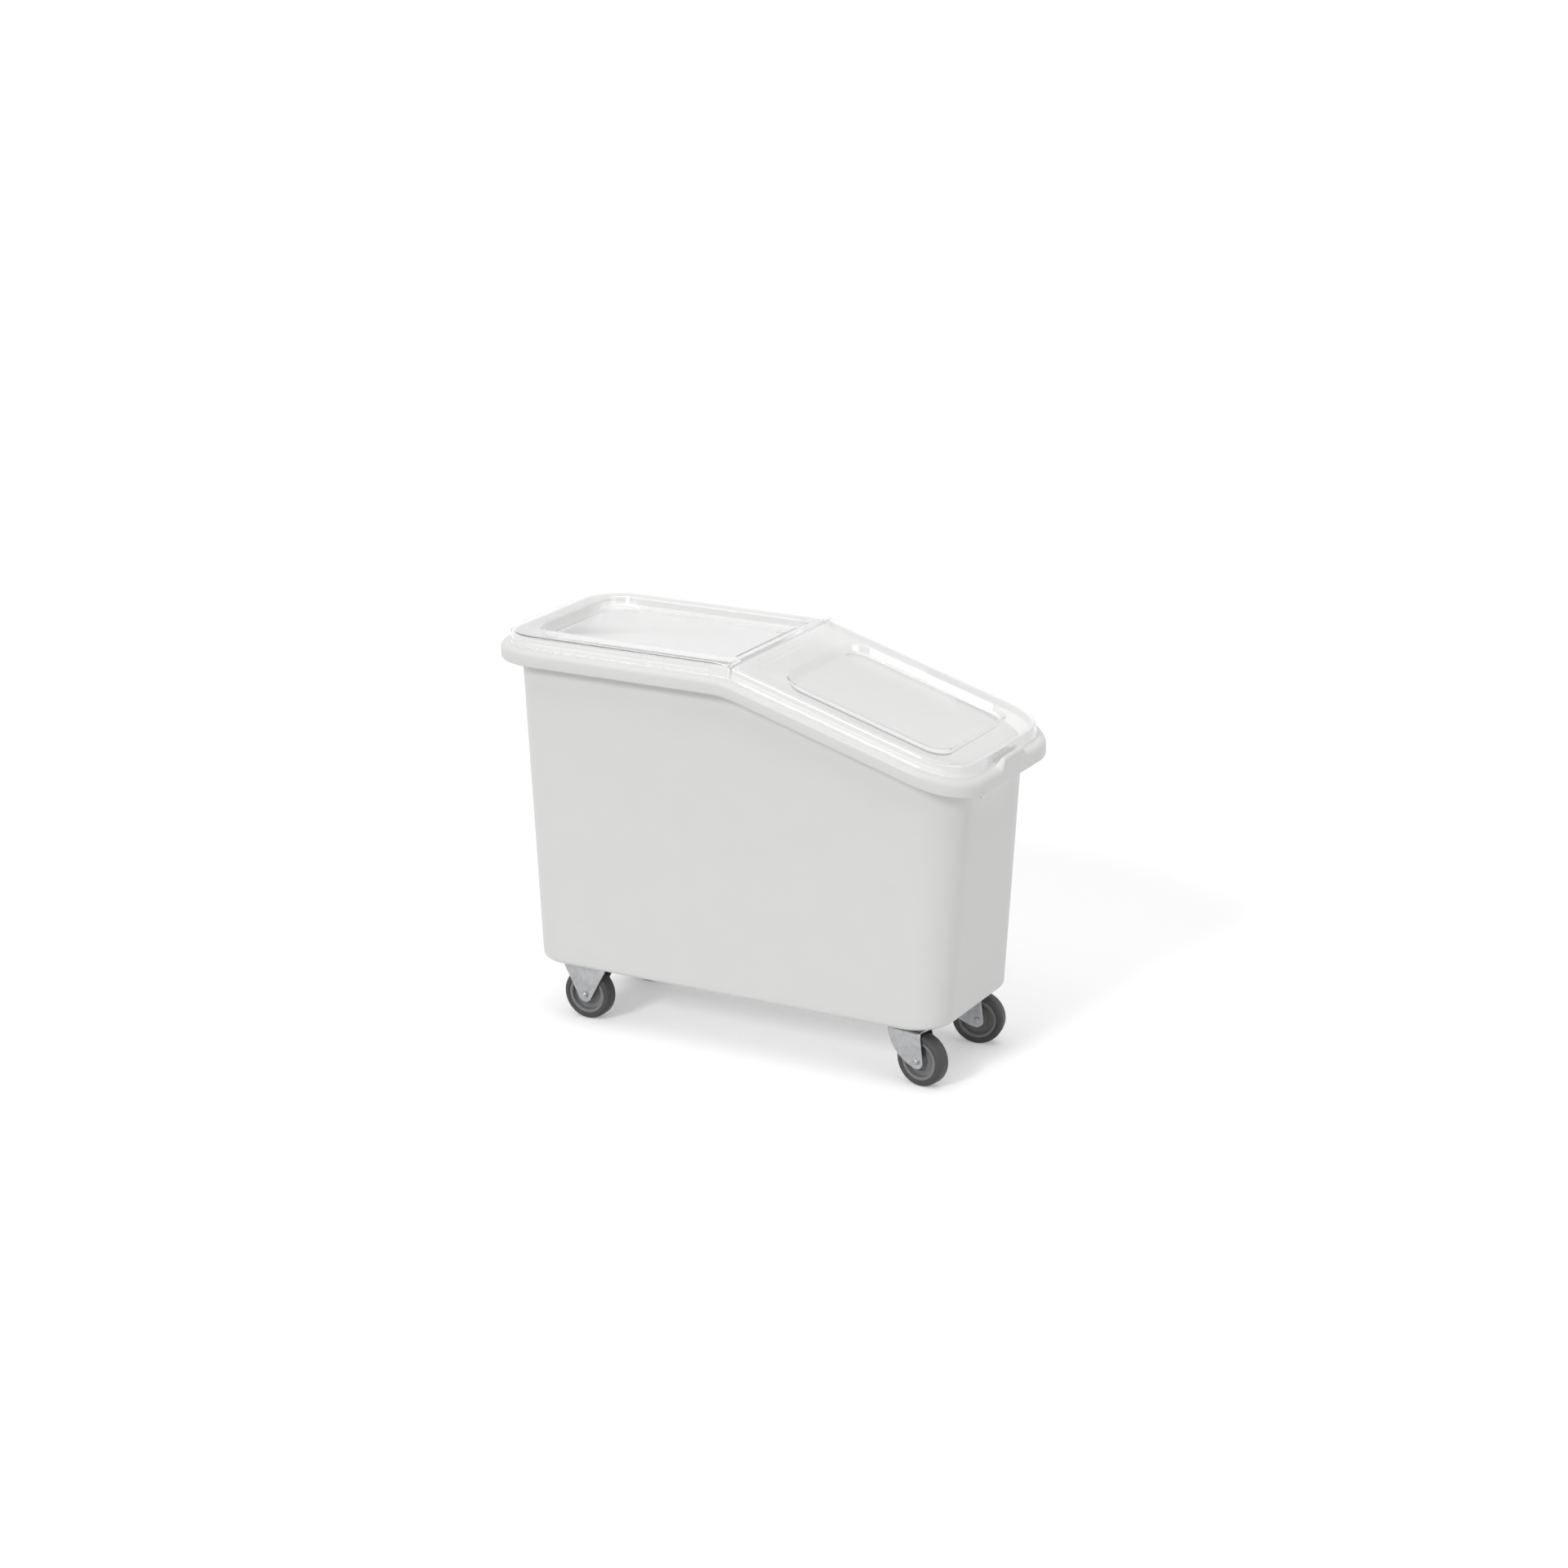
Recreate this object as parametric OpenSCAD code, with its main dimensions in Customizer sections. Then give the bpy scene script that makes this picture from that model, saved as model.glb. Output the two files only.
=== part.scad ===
// Rolling ingredient bin: a moulded tub with a sloping front, two clear lids hinged at the ridge,
// two rigid casters at the rear and two swivel casters at the front.
// +X points to the low scooping end and +Z up. The origin is on the floor under the rim's middle.

/* [Tub] */
// Length over the rim bead
tub_len = 750; // [700:1:850]
// Width over the rim bead
tub_wid = 330; // [318:1:400]
// Height of the wall from its foot to the lower edge of the bead at the rear
tub_h = 447.5; // [420:0.5:500]
// Plan corner radius of the rim bead
rim_corner_r = 78; // [72:1:90]
// Plan corner radius of the wall at its foot
base_corner_r = 55; // [48:1:60]
// How far the bead stands out past the wall at the rear end
rim_reach_end = 20; // [18:0.5:26]
// How far the bead stands out past the wall on each side
rim_reach_side = 27; // [24:0.5:32]
// Draft of the end walls, in degrees
end_draft = 3.8; // [3:0.1:4.6]
// Draft of the side walls, in degrees
side_draft = 0.9; // [0.5:0.1:1.6]
// How the wall's corner radius grows with height, in degrees
corner_draft = 2.4; // [1.6:0.1:2.8]
// Thickness of the wall
wall = 4; // [3:0.1:5.5]
// Thickness of the floor
floor_t = 5; // [4:0.1:8]
// Depth of the recess under the floor that takes the caster plates
recess_d = 8; // [7:0.5:14]
// Radius of the wall's lower outer edge
foot_out_r = 8; // [5:0.5:9]
// Radius between the inside wall and the floor
floor_fillet = 10; // [4:0.5:11]

/* [Rim] */
// Distance of the bend from the middle of the rim
bend_x = 12; // [-20:1:40]
// Radius of the bend
bend_r = 150; // [100:5:220]
// Slope of the rim in front of the bend, in degrees
slope = 16.4; // [10:0.1:20]
// Height of the bead
bead_h = 22; // [18:0.5:26]
// Radius of the bead's upper outer edge
bead_r = 8; // [5:0.5:9]
// Thickness of the bead's hanging lip
lip_t = 5; // [4:0.1:6]
// Height of the hollow behind that lip
hollow_h = 13; // [9:0.5:14]
// Thickness of the upstand
upstand_t = 4; // [3:0.1:5]
// Height of the upstand above the bead
upstand_h = 13.5; // [10:0.5:14]
// Half width of the raised finger lip at the front
tongue_hw = 34; // [24:1:40]
// Height of the finger lip above the bead
tongue_h = 14; // [8:0.5:16]
// Depth of the grip apron under the front bead
apron_d = 24; // [14:1:34]

/* [Lids] */
// Height of the lids' top face above the bead
lid_rise = 19; // [17:0.5:24]
// Inset of the lids' outline from the bead's edge
lid_in = 14; // [13:0.5:15]
// Thickness of the lids
lid_t = 2.6; // [2:0.1:3.2]
// Plan corner radius of the lids
lid_corner_r = 61; // [50:1:70]
// Radius of the lids' upper edge
lid_edge_r = 5; // [3.5:0.5:6]
// Height of the thicker band along the bottom of the skirt
band_h = 7; // [4:0.5:9]
// How far that band stands out
band_out = 1.2; // [0.6:0.1:1.8]
// Width of the border around the sunken panels
border = 42; // [32:1:55]
// Depth of the sunken panels
panel_d = 11; // [6:0.5:13]
// Horizontal run of the step down to the panels
panel_run = 4; // [3.5:0.5:8]
// Corner radius of the sunken panels
panel_r = 30; // [20:1:40]
// Border between the ridge and the rear panel
rear_ridge_border = 16; // [12:1:40]
// Border between the ridge and the front panel
front_ridge_border = 55; // [30:1:70]
// Half width of the notch in the front lid's skirt
notch_hw = 38; // [26:1:44]
// Height of that notch
notch_h = 10; // [6:0.5:12]

/* [Hinge] */
// Distance of the hinge line from the middle of the rim
hinge_x = 18; // [-10:1:40]
// Radius of the knuckles
knuckle_r = 3.4; // [3:0.1:4]
// Length of one knuckle
knuckle_len = 11; // [8:0.5:16]
// Radius of the hinge pins
pin_r = 1.5; // [1:0.1:1.8]
// Depth of the flange that hangs from the rear lid's ridge
flange_d = 10; // [6:0.5:14]
// Depth of the tab in the middle of that flange
tab_d = 23; // [15:0.5:28]
// Half width of the tab
tab_hw = 68; // [40:1:90]

/* [Wheels] */
// Radius of the wheels
wheel_r = 37.5; // [35:0.5:45]
// Width of the tyres
wheel_w = 24; // [20:0.5:25]
// Outer radius of the wheel core
core_r = 28; // [26:0.5:30]
// Width of the core's outer ring
ring_w = 4; // [3:0.5:6]
// Thickness of the core's web
web_t = 6; // [4:0.5:10]
// Radius of the hub
hub_r = 10; // [8.5:0.5:12]
// Outer radius of the sleeve that the wheel turns on
sleeve_r = 5; // [4.5:0.1:6]
// Radius of the axle bolts
axle_r = 2.5; // [2:0.1:3]

/* [Casters] */
// Gap between the wheels' top and the foot of the tub
wheel_gap = 15; // [11:0.5:20]
// Distance of the wheels' middle plane from the side of the wall at its foot
caster_side_in = 45; // [42:0.5:52]
// Distance of the rear axle from the start of the base's rear corners
rear_axle_in = 19; // [16:0.5:45]
// Distance of the front swivel axis from the start of the base's front corners
swivel_in = 10.5; // [10:0.5:40]
// Trail of the front wheels behind their swivel axis
trail = 27; // [20:0.5:30]
// Angle that the right front caster stands at, in degrees
right_yaw = -10; // [-40:1:40]
// Angle that the left front caster stands at, in degrees
left_yaw = 10; // [-40:1:40]
// Sheet thickness of the forks and plates
sheet = 2; // [1.5:0.1:2.5]
// Length of a caster plate
plate_len = 92; // [86:1:96]
// Distance between a plate's two bolts
bolt_span = 72; // [66:1:76]
// Radius of the caster bolts
bolt_r = 4; // [3:0.1:4.5]
// Width of a rigid fork's cheek at the foot of the tub
cheek_w = 80; // [66:1:84]
// Radius of a fork's tip around the axle
tip_r = 10.5; // [8.5:0.5:11]
// Length of a swivel fork's crown behind the swivel axis
crown_back = 23; // [20:0.5:26]
// Length of a swivel fork's crown in front of the swivel axis
crown_front = 32; // [26:0.5:34]
// Radius of the kingpins
kingpin_r = 4.5; // [3.5:0.1:5]
// Radius of the swivel balls
ball_r = 2.2; // [1.8:0.1:2.4]
// Radius of the ball circle
ball_circle_r = 11; // [10:0.1:11.5]

/* [Hidden] */
$fn = 48;
// Overrun of every cut past the faces that it opens
over = 1;
// Running clearance of a pin or shaft in its bore, on the radius
run_gap = 0.05;
// Clearance of a fixed pin or bolt in what holds it, on the radius
fix_gap = 0.02;
// Clearance of a bolt in its hole, on the radius
hole_gap = 0.2;
// Gap between loose curved faces of pieces that move past each other
part_gap = 0.3;
// Segments in a plan corner, in the bend and in a small rounding
corner_steps = 6;
bend_steps = 6;
round_steps = 3;
// Sides of the right and left casters along Y
right = -1;
left = 1;

// Heights
axle_z = wheel_r;
base_z = 2 * wheel_r + wheel_gap;
plate_z = base_z + recess_d;
floor_z = plate_z + floor_t;
rim_z = base_z + tub_h;
lid_h = bead_h + lid_rise;
// Half lengths and widths
rim_hl = tub_len / 2;
rim_hw = tub_wid / 2;
base_hl = rim_hl - rim_reach_end - tub_h * tan(end_draft);
base_hw = rim_hw - rim_reach_side - tub_h * tan(side_draft);
// Ends of the bend along X
bend_start = bend_x - bend_r * tan(slope / 2);
bend_end = bend_start + bend_r * sin(slope);
// The grip apron keeps this far from the corners, and ends of raised stretches slant over this width
apron_in = 14;
slant = 2;
apron_hw = base_hw - base_corner_r - apron_in;
// Thickness and edge radius of the finger lip, and the spacing of the shelf's rings beside it
tongue_t = 7;
tongue_edge_r = 3;
shelf_step = 1;
// Height of the chamfer between the inside wall and the upstand
flare_h = 12;
// Play between the lids' skirt and the upstand
lid_play = 0.7;
upstand_in = lid_in + band_out + lid_t + lid_play;
upstand_top = bead_h + upstand_h;
// Radius of the foot rim's inner edge, its thickness, and the radii of the lip and the upstand's top
foot_in_r = 3;
foot_t = foot_out_r + foot_in_r;
lip_r = lip_t / 2;
upstand_r = upstand_t / 4;
// Places of the apron's two inner rings between the wall and the lip
apron_shares = [0.5, 0.9];
// Gap between each lid and the hinge line, and the lids' corner and edge radius there
ridge_gap = 0.5;
ridge_r = 4;
ridge_edge_r = 1;
ridge_panel_r = 12;
// Height of the hinge line above the lids' top face
hinge_rise = 0.5;
hinge_z = lid_at(hinge_x) + hinge_rise;
// Over the upstand the ridge's flange is only as deep as the gap allows, and this far in it hangs free
ridge_flange = lid_rise - upstand_h - part_gap;
flange_in = upstand_t + lid_t + band_out + 2 * slant;
// Gap between two knuckles, and between the outer knuckle and the side of the lid
knuckle_gap = 0.5;
knuckle_in = 5;
// Wheels: how far the hub stands out past the tyre, and its play between the fork's cheeks
hub_out = 1;
side_play = 0.5;
// How far the core's ring lies inside the tyre's face, the slant of its web's sides, the tyre's edges
ring_in = 1.5;
web_draft = 1;
bead_step = 1.5;
tread_r = 6;
// Axle bolts: hexagon corner radius, head and nut heights, and the thread's end past the nut
axle_hex_r = 4.62;
axle_head_t = 3.5;
axle_nut_t = 4;
axle_end = 1;
// Caster plates: thickness, corner radius and how far they stand out past the fork
plate_t = 3;
plate_r = 8;
plate_lip = 0.5;
// Swivel forks: rise of the crown over the wheels, crown thickness, angle where the rear curve meets the tip
// and how far its handle reaches
crown_rise = 5.5;
crown_t = 2.5;
tip_end = -105;
back_pull = 42;
curve_steps = 10;
// Segments of a fork's tip
tip_steps = 16;
// Swivel heads: wall of the race outside the balls, and the kingpin's head
race_t = 1.5;
kingpin_head_r = 8;
kingpin_head_t = 4;
// Caster fixings: domed head, washer, nut and the thread's end past the nut
bolt_head_r = 8;
bolt_head_t = 4;
washer_r = 9;
washer_t = 1.5;
caster_hex_r = 7.5;
caster_nut_t = 6.5;
bolt_end = 1.5;

// Height of the bead's lower edge along X: level, then an arc, then the slope
function rim_at(x) =
    x < bend_start ? rim_z :
    x > bend_end ? rim_z - (x - bend_x) * tan(slope) :
    rim_z - bend_r + sqrt(bend_r * bend_r - (x - bend_start) * (x - bend_start));
function lid_at(x) = rim_at(x) + lid_h;
function mix(a, b, t) = a + (b - a) * t;

// A station is a place on one half of an outline, from the middle of its front end to the middle
// of its rear end: [0, share] front end, [1, angle] front corner, [2, share] side, [3, angle] rear
// corner, [4, share] rear end. Shares are of the straight stretch, from its middle or its front.
function corner_stations(kind, steps) = [for (i = [0 : steps]) [kind, 90 * i / steps]];

// Point of a station on a rounded outline with front and rear ends xf and xr, half width hw and
// corner radii rf and rr
function place(s, xf, xr, hw, rf, rr) =
    s[0] == 0 ? [xf, s[1] * (rf - hw)] :
    s[0] == 1 ? [xf - rf + rf * cos(s[1]), rf - hw - rf * sin(s[1])] :
    s[0] == 2 ? [mix(xf - rf, xr + rr, s[1]), -hw] :
    s[0] == 3 ? [xr + rr - rr * sin(s[1]), rr - hw - rr * cos(s[1])] :
    [xr, s[1] * (rr - hw)];

// A ring is a half outline and its mirror image. A skin closes a list of rings into one solid.
function mirrored(half) =
    concat(half, [for (i = [len(half) - 1 : -1 : 0]) [half[i][0], -half[i][1], half[i][2]]]);

// Every face is a triangle, because the quads between two rings aren't flat, and each end of the
// skin is a fan about the middle of its ring.
module skin(rings) {
    n = len(rings[0]);
    last = (len(rings) - 1) * n;
    hub = last + n;
    first = rings[0];
    end = rings[len(rings) - 1];
    hubs = [(first[0] + first[n / 2]) / 2, (end[0] + end[n / 2]) / 2];
    sides = [for (k = [0 : len(rings) - 2], i = [0 : n - 1])
        let (j = (i + 1) % n, a = k * n + i, b = k * n + j)
        each [[a, b, b + n], [a, b + n, a + n]]];
    caps = [for (i = [0 : n - 1])
        let (j = (i + 1) % n)
        each [[hub, j, i], [hub + 1, last + i, last + j]]];
    polyhedron(points = concat([for (ring = rings) each ring],
        [[hubs[0][0], 0, hubs[0][2]], [hubs[1][0], 0, hubs[1][2]]]), faces = concat(sides, caps));
}

// Tub: stations, with the bend's own points along the side
tub_stations = concat(
    [[0, tongue_hw], [0, tongue_hw + slant], [0, apron_hw - slant], [0, apron_hw]],
    corner_stations(1, corner_steps),
    [for (i = [0 : bend_steps]) [2, mix(bend_end, bend_start, i / bend_steps)]],
    corner_stations(3, corner_steps),
    [[4, apron_hw], [4, tongue_hw]]);
// The tub's outlines are centred. Its end and side stations hold a real place in Y or X instead of a
// share, so that the grip and the bend stay where they are from ring to ring.
function tub_place(s, hl, hw, r) =
    s[0] == 0 ? [hl, -s[1]] :
    s[0] == 2 ? [s[1], -hw] :
    s[0] == 4 ? [-hl, -s[1]] :
    place(s, hl, -hl, hw, r, r);
// Height of the bead's lower edge over the wall at a station
function rim_here(s) =
    rim_at(tub_place(s, rim_hl - rim_reach_end, rim_hw - rim_reach_side, rim_corner_r)[0]);
function in_tongue(s) = s[0] == 0 && s[1] <= tongue_hw;
function in_apron(s) = s[0] == 0 && s[1] <= apron_hw - slant;

// Point on the wall, a given distance inside its outer face, at height z
function wall_point(s, inset, z) =
    let (rise = z - base_z,
         p = tub_place(s, base_hl + rise * tan(end_draft) - inset,
             base_hw + rise * tan(side_draft) - inset,
             base_corner_r + rise * tan(corner_draft) - inset)) [p[0], p[1], z];
// Point on the rim, a given distance inside the bead's edge and above its lower edge
function rim_point(s, inset, h) =
    let (p = tub_place(s, rim_hl - inset, rim_hw - inset, rim_corner_r - inset))
    [p[0], p[1], rim_at(p[0]) + h];

function wall_ring(inset, z) = mirrored([for (s = tub_stations) wall_point(s, inset, z)]);
function rim_ring(inset, h) = mirrored([for (s = tub_stations) rim_point(s, inset, h)]);
// The same ring with another section over the finger lip
function tongue_ring(inset, h, lip_inset, lip_h) = mirrored([for (s = tub_stations)
    in_tongue(s) ? rim_point(s, lip_inset, lip_h) : rim_point(s, inset, h)]);
// Ring under the bead: the apron runs straight from the wall to the lip's edge, by its share
function under_ring(inset, h, share) = mirrored([for (s = tub_stations)
    in_apron(s) ? mix(apron_foot(s), rim_point(s, lip_t / 2, 0), share) : rim_point(s, inset, h)]);
function apron_foot(s) = wall_point(s, 0, rim_here(s) - apron_d);
function hollow_ring() = mirrored([for (s = tub_stations)
    in_apron(s) ? apron_foot(s) : wall_point(s, 0, rim_here(s) + hollow_h)]);
function inner_ring(h) = mirrored([for (s = tub_stations) wall_point(s, wall, rim_here(s) + h)]);

tub_rings = concat(
    [wall_ring(foot_t, plate_z)],
    [for (i = [0 : round_steps]) let (a = 90 * i / round_steps)
        wall_ring(foot_t - foot_in_r * (1 - cos(a)), base_z + foot_in_r * (1 - sin(a)))],
    [for (i = [1 : round_steps]) let (a = 90 * i / round_steps)
        wall_ring(foot_out_r * (1 - sin(a)), base_z + foot_out_r * (1 - cos(a)))],
    [hollow_ring(),
     under_ring(lip_t, hollow_h, apron_shares[0]),
     under_ring(lip_t, lip_r, apron_shares[1])],
    [for (i = [0 : round_steps]) let (a = 90 * i / round_steps)
        rim_ring(lip_r - lip_r * sin(a), lip_r - lip_r * cos(a))],
    [for (i = [0 : round_steps]) let (a = 90 * i / round_steps, c = 1 - cos(a), d = 1 - sin(a))
        tongue_ring(bead_r * c, bead_h - bead_r * d,
            tongue_edge_r * c, bead_h + tongue_h - tongue_edge_r * d)],
    [tongue_ring(bead_r + shelf_step, bead_h, tongue_t - tongue_edge_r, bead_h + tongue_h),
     tongue_ring(bead_r + 2 * shelf_step, bead_h, tongue_t, bead_h + tongue_h - tongue_edge_r),
     tongue_ring(bead_r + 3 * shelf_step, bead_h, tongue_t, bead_h)],
    [rim_ring(upstand_in, bead_h),
     rim_ring(upstand_in, upstand_top - upstand_r),
     rim_ring(upstand_in + upstand_r, upstand_top),
     rim_ring(upstand_in + upstand_t - upstand_r, upstand_top),
     rim_ring(upstand_in + upstand_t, upstand_top - upstand_r),
     rim_ring(upstand_in + upstand_t, hollow_h + flare_h),
     inner_ring(hollow_h)],
    [for (i = [0 : round_steps]) let (a = 90 * i / round_steps)
        wall_ring(wall + floor_fillet * (1 - cos(a)), floor_z + floor_fillet * (1 - sin(a)))]);

module tub() {
    color("white")
    difference() {
        skin(tub_rings);
        at_bolts() translate([0, 0, plate_z - over])
            cylinder(r = bolt_r + hole_gap, h = floor_t + 2 * over);
    }
}

// Lids: each outline holds its front, its rear, its half width and its front and rear corner radius
lid_hw = rim_hw - lid_in;
flange_hw = lid_hw - flange_in;
rear_edge = [hinge_x - ridge_gap, lid_in - rim_hl, lid_hw, ridge_r, lid_corner_r];
front_edge = [rim_hl - lid_in, hinge_x + ridge_gap, lid_hw, lid_corner_r, ridge_r];
panel_hw = lid_hw - border;
rear_panel = [rear_edge[0] - rear_ridge_border, rear_edge[1] + border, panel_hw, ridge_panel_r, panel_r];
front_panel = [front_edge[0] - border, front_edge[1] + front_ridge_border, panel_hw, panel_r, panel_r];

// The side stations crowd towards the ridge, where the lids follow the bend. Along the rear lid's
// ridge the stations lie at the ends of the tab and of the flange.
side_shares = [0.03, 0.06, 0.1, 0.2, 0.5];
end_share = 0.5;
ridge_hw = lid_hw - ridge_r;
rear_stations = concat(
    [for (y = [tab_hw - slant, tab_hw, flange_hw - slant, flange_hw]) [0, y / ridge_hw]],
    corner_stations(1, round_steps),
    [for (t = side_shares) [2, t]],
    corner_stations(3, corner_steps),
    [[4, end_share]]);
front_stations = concat(
    [[0, end_share]],
    corner_stations(1, corner_steps),
    [for (i = [len(side_shares) - 1 : -1 : 0]) [2, 1 - side_shares[i]]],
    corner_stations(3, round_steps),
    [[4, end_share]]);

// Whether a station is on the ridge, and how deep the skirt hangs there
skirt_d = lid_rise - part_gap;
function rear_ridge(s) = s[0] == 0 || (s[0] == 1 && s[1] < 90);
function front_ridge(s) = s[0] == 4 || (s[0] == 3 && s[1] > 0);
function rear_depth(s) =
    !rear_ridge(s) ? skirt_d :
    s[0] == 1 || s[1] * ridge_hw > flange_hw - slant / 2 ? ridge_flange :
    s[1] * ridge_hw > tab_hw - slant / 2 ? flange_d : tab_d;
function front_depth(s) = front_ridge(s) ? ridge_flange : skirt_d;

// Section of a skirt as [inset, drop] pairs: its inner face, its bottom, the band and the upper edge.
// The ridge has no band, so its face is divided evenly there.
function skirt_section(ridge, depth) =
    let (r = ridge ? ridge_edge_r : lid_edge_r,
         out = ridge ? 0 : band_out,
         band = ridge ? (depth - r) / 3 : band_h,
         step = ridge ? band : band_out)
    concat(
        [[out + lid_t, lid_t], [out + lid_t, depth], [0, depth], [0, depth - band],
         [out, depth - band - step]],
        [for (i = [0 : round_steps]) let (a = 90 * i / round_steps)
            [out + r * (1 - cos(a)), r * (1 - sin(a))]]);

// Point of a station on a lid, inside an outline and below the lid's top face
function lid_point(s, edge, inset, drop) =
    let (p = place(s, edge[0] - inset, edge[1] + inset, edge[2] - inset,
        max(edge[3] - inset, run_gap), max(edge[4] - inset, run_gap)))
    [p[0], p[1], lid_at(p[0]) - drop];
// The panels are flat. The rear one stays level up to its end near the ridge, inside the bend.
function panel_at(x) = x < bend_x ? rim_z + lid_h : lid_at(x);
function panel_ring(stations, panel, inset, drop) =
    mirrored([for (s = stations)
        let (p = lid_point(s, panel, inset, drop)) [p[0], p[1], panel_at(p[0]) - drop]]);

// A lid from the underside of its panel, round the skirt, to the top of its panel
module lid_shell(stations, edge, panel, sections) {
    skirt = [for (k = [0 : len(sections[0]) - 1])
        mirrored([for (i = [0 : len(stations) - 1])
            lid_point(stations[i], edge, sections[i][k][0], sections[i][k][1])])];
    skin(concat(
        [panel_ring(stations, panel, panel_run - lid_t, panel_d + lid_t),
         panel_ring(stations, panel, -lid_t, lid_t)],
        skirt,
        [panel_ring(stations, panel, 0, 0),
         panel_ring(stations, panel, panel_run, panel_d)]));
}

// Along the hinge line, from a distance inside the outer knuckle's end towards the middle
module on_hinge(start) {
    for (side = [right, left])
        hinge_end(side, start) children();
}

module hinge_end(side, start) {
    translate([hinge_x, side * (lid_hw - knuckle_in - start), hinge_z])
        rotate([90 * side, 0, 0])
            children();
}

front_knuckle = knuckle_len + knuckle_gap;
pin_len = front_knuckle + knuckle_len;

module knuckle() {
    cylinder(r = knuckle_r, h = knuckle_len);
}

module knuckle_room() {
    translate([0, 0, -knuckle_gap])
        cylinder(r = knuckle_r + knuckle_gap, h = knuckle_len + 2 * knuckle_gap);
}

module rear_lid() {
    color("lightcyan", 0.5)
    difference() {
        union() {
            lid_shell(rear_stations, rear_edge, rear_panel,
                [for (s = rear_stations) skirt_section(rear_ridge(s), rear_depth(s))]);
            on_hinge(0) knuckle();
        }
        on_hinge(front_knuckle) knuckle_room();
        on_hinge(-over) cylinder(r = pin_r + fix_gap, h = pin_len + 2 * over);
    }
}

module front_lid() {
    color("lightcyan", 0.5)
    difference() {
        union() {
            lid_shell(front_stations, front_edge, front_panel,
                [for (s = front_stations) skirt_section(front_ridge(s), front_depth(s))]);
            on_hinge(front_knuckle) knuckle();
        }
        on_hinge(0) knuckle_room();
        on_hinge(-over) cylinder(r = pin_r + run_gap, h = pin_len + 2 * over);
        translate([front_edge[0] - lid_corner_r, -notch_hw, lid_at(front_edge[0]) - lid_rise - over])
            cube([lid_corner_r + over, 2 * notch_hw, notch_h + over]);
    }
}

module hinge_pin(side) {
    color("silver")
    hinge_end(side, 0) cylinder(r = pin_r, h = pin_len);
}

// Casters: places of the four plates
caster_y = base_hw - caster_side_in;
rear_x = rear_axle_in + base_corner_r - base_hl;
swivel_x = base_hl - base_corner_r - swivel_in;

module at_rear(side) {
    translate([rear_x, side * caster_y, 0]) children();
}

module at_swivel(side) {
    translate([swivel_x, side * caster_y, 0]) children();
}

// Front casters stand at their own angle, with the axle behind the swivel axis
module at_front(side) {
    at_swivel(side) rotate([0, 0, side == right ? right_yaw : left_yaw]) children();
}

module at_front_axle(side) {
    at_front(side) translate([trail, 0, 0]) children();
}

// Along an axle, with +Z pointing out of the bin's side
module on_axle(side) {
    translate([0, 0, axle_z]) rotate([-90 * side, 0, 0]) children();
}

module at_bolts() {
    for (side = [right, left], end = [-1, 1]) {
        at_rear(side) translate([end * bolt_span / 2, 0, 0]) children();
        at_swivel(side) translate([end * bolt_span / 2, 0, 0]) children();
    }
}

// Wheels: half widths of the hub, the fork's inside and outside
hub_hl = wheel_w / 2 + hub_out;
fork_in = hub_hl + side_play;
fork_out = fork_in + sheet;

module wheel_core() {
    inner = core_r - ring_w;
    bore = sleeve_r + run_gap;
    ring_hw = wheel_w / 2 - ring_in;
    half = [[bore, hub_hl], [hub_r, hub_hl], [hub_r + web_draft, web_t / 2],
        [inner - web_draft, web_t / 2], [inner, ring_hw], [core_r, ring_hw]];
    color("gray")
    rotate_extrude()
        polygon(concat(half, [for (i = [len(half) - 1 : -1 : 0]) [half[i][0], -half[i][1]]]));
}

module tyre() {
    hw = wheel_w / 2;
    bore = core_r + fix_gap;
    half = concat([[bore, hw - ring_in], [bore + bead_step, hw]],
        [for (i = [0 : 2 * round_steps]) let (a = 90 - 90 * i / (2 * round_steps))
            [wheel_r - tread_r + tread_r * cos(a), hw - tread_r + tread_r * sin(a)]]);
    color("dimgray")
    rotate_extrude()
        polygon(concat(half, [for (i = [len(half) - 1 : -1 : 0]) [half[i][0], -half[i][1]]]));
}

module axle_sleeve() {
    color("lightgray")
    translate([0, 0, -fork_in])
        difference() {
            cylinder(r = sleeve_r, h = 2 * fork_in);
            translate([0, 0, -over])
                cylinder(r = axle_r + hole_gap, h = 2 * (fork_in + over));
        }
}

module axle_bolt() {
    color("silver")
    union() {
        translate([0, 0, -fork_out - axle_head_t])
            cylinder(r = axle_hex_r, h = axle_head_t, $fn = 6);
        translate([0, 0, -fork_out - fix_gap])
            cylinder(r = axle_r, h = 2 * fork_out + axle_nut_t + axle_end);
    }
}

module axle_nut() {
    color("silver")
    translate([0, 0, fork_out])
        difference() {
            cylinder(r = axle_hex_r, h = axle_nut_t, $fn = 6);
            translate([0, 0, -over])
                cylinder(r = axle_r + fix_gap, h = axle_nut_t + 2 * over);
        }
}

// Plate with round corners
module plate_outline() {
    plate_w = 2 * (fork_out + plate_lip);
    square([plate_len - 2 * plate_r, plate_w], center = true);
    square([plate_len, plate_w - 2 * plate_r], center = true);
    for (i = [-1, 1], j = [-1, 1])
        translate([i * (plate_len / 2 - plate_r), j * (plate_w / 2 - plate_r)])
            circle(r = plate_r);
}

module plate_holes() {
    for (end = [-1, 1])
        translate([end * bolt_span / 2, 0, plate_z - plate_t - over])
            cylinder(r = bolt_r + hole_gap, h = plate_t + 2 * over);
}

// Both cheeks of a fork from a drawing in X and Z, with the axle's hole
module cheeks(axle_x) {
    for (y = [-fork_out, fork_in])
        translate([0, y + sheet, 0])
            rotate([90, 0, 0])
                linear_extrude(sheet)
                    difference() {
                        children();
                        translate([axle_x, axle_z])
                            circle(r = axle_r + hole_gap);
                    }
}

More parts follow.
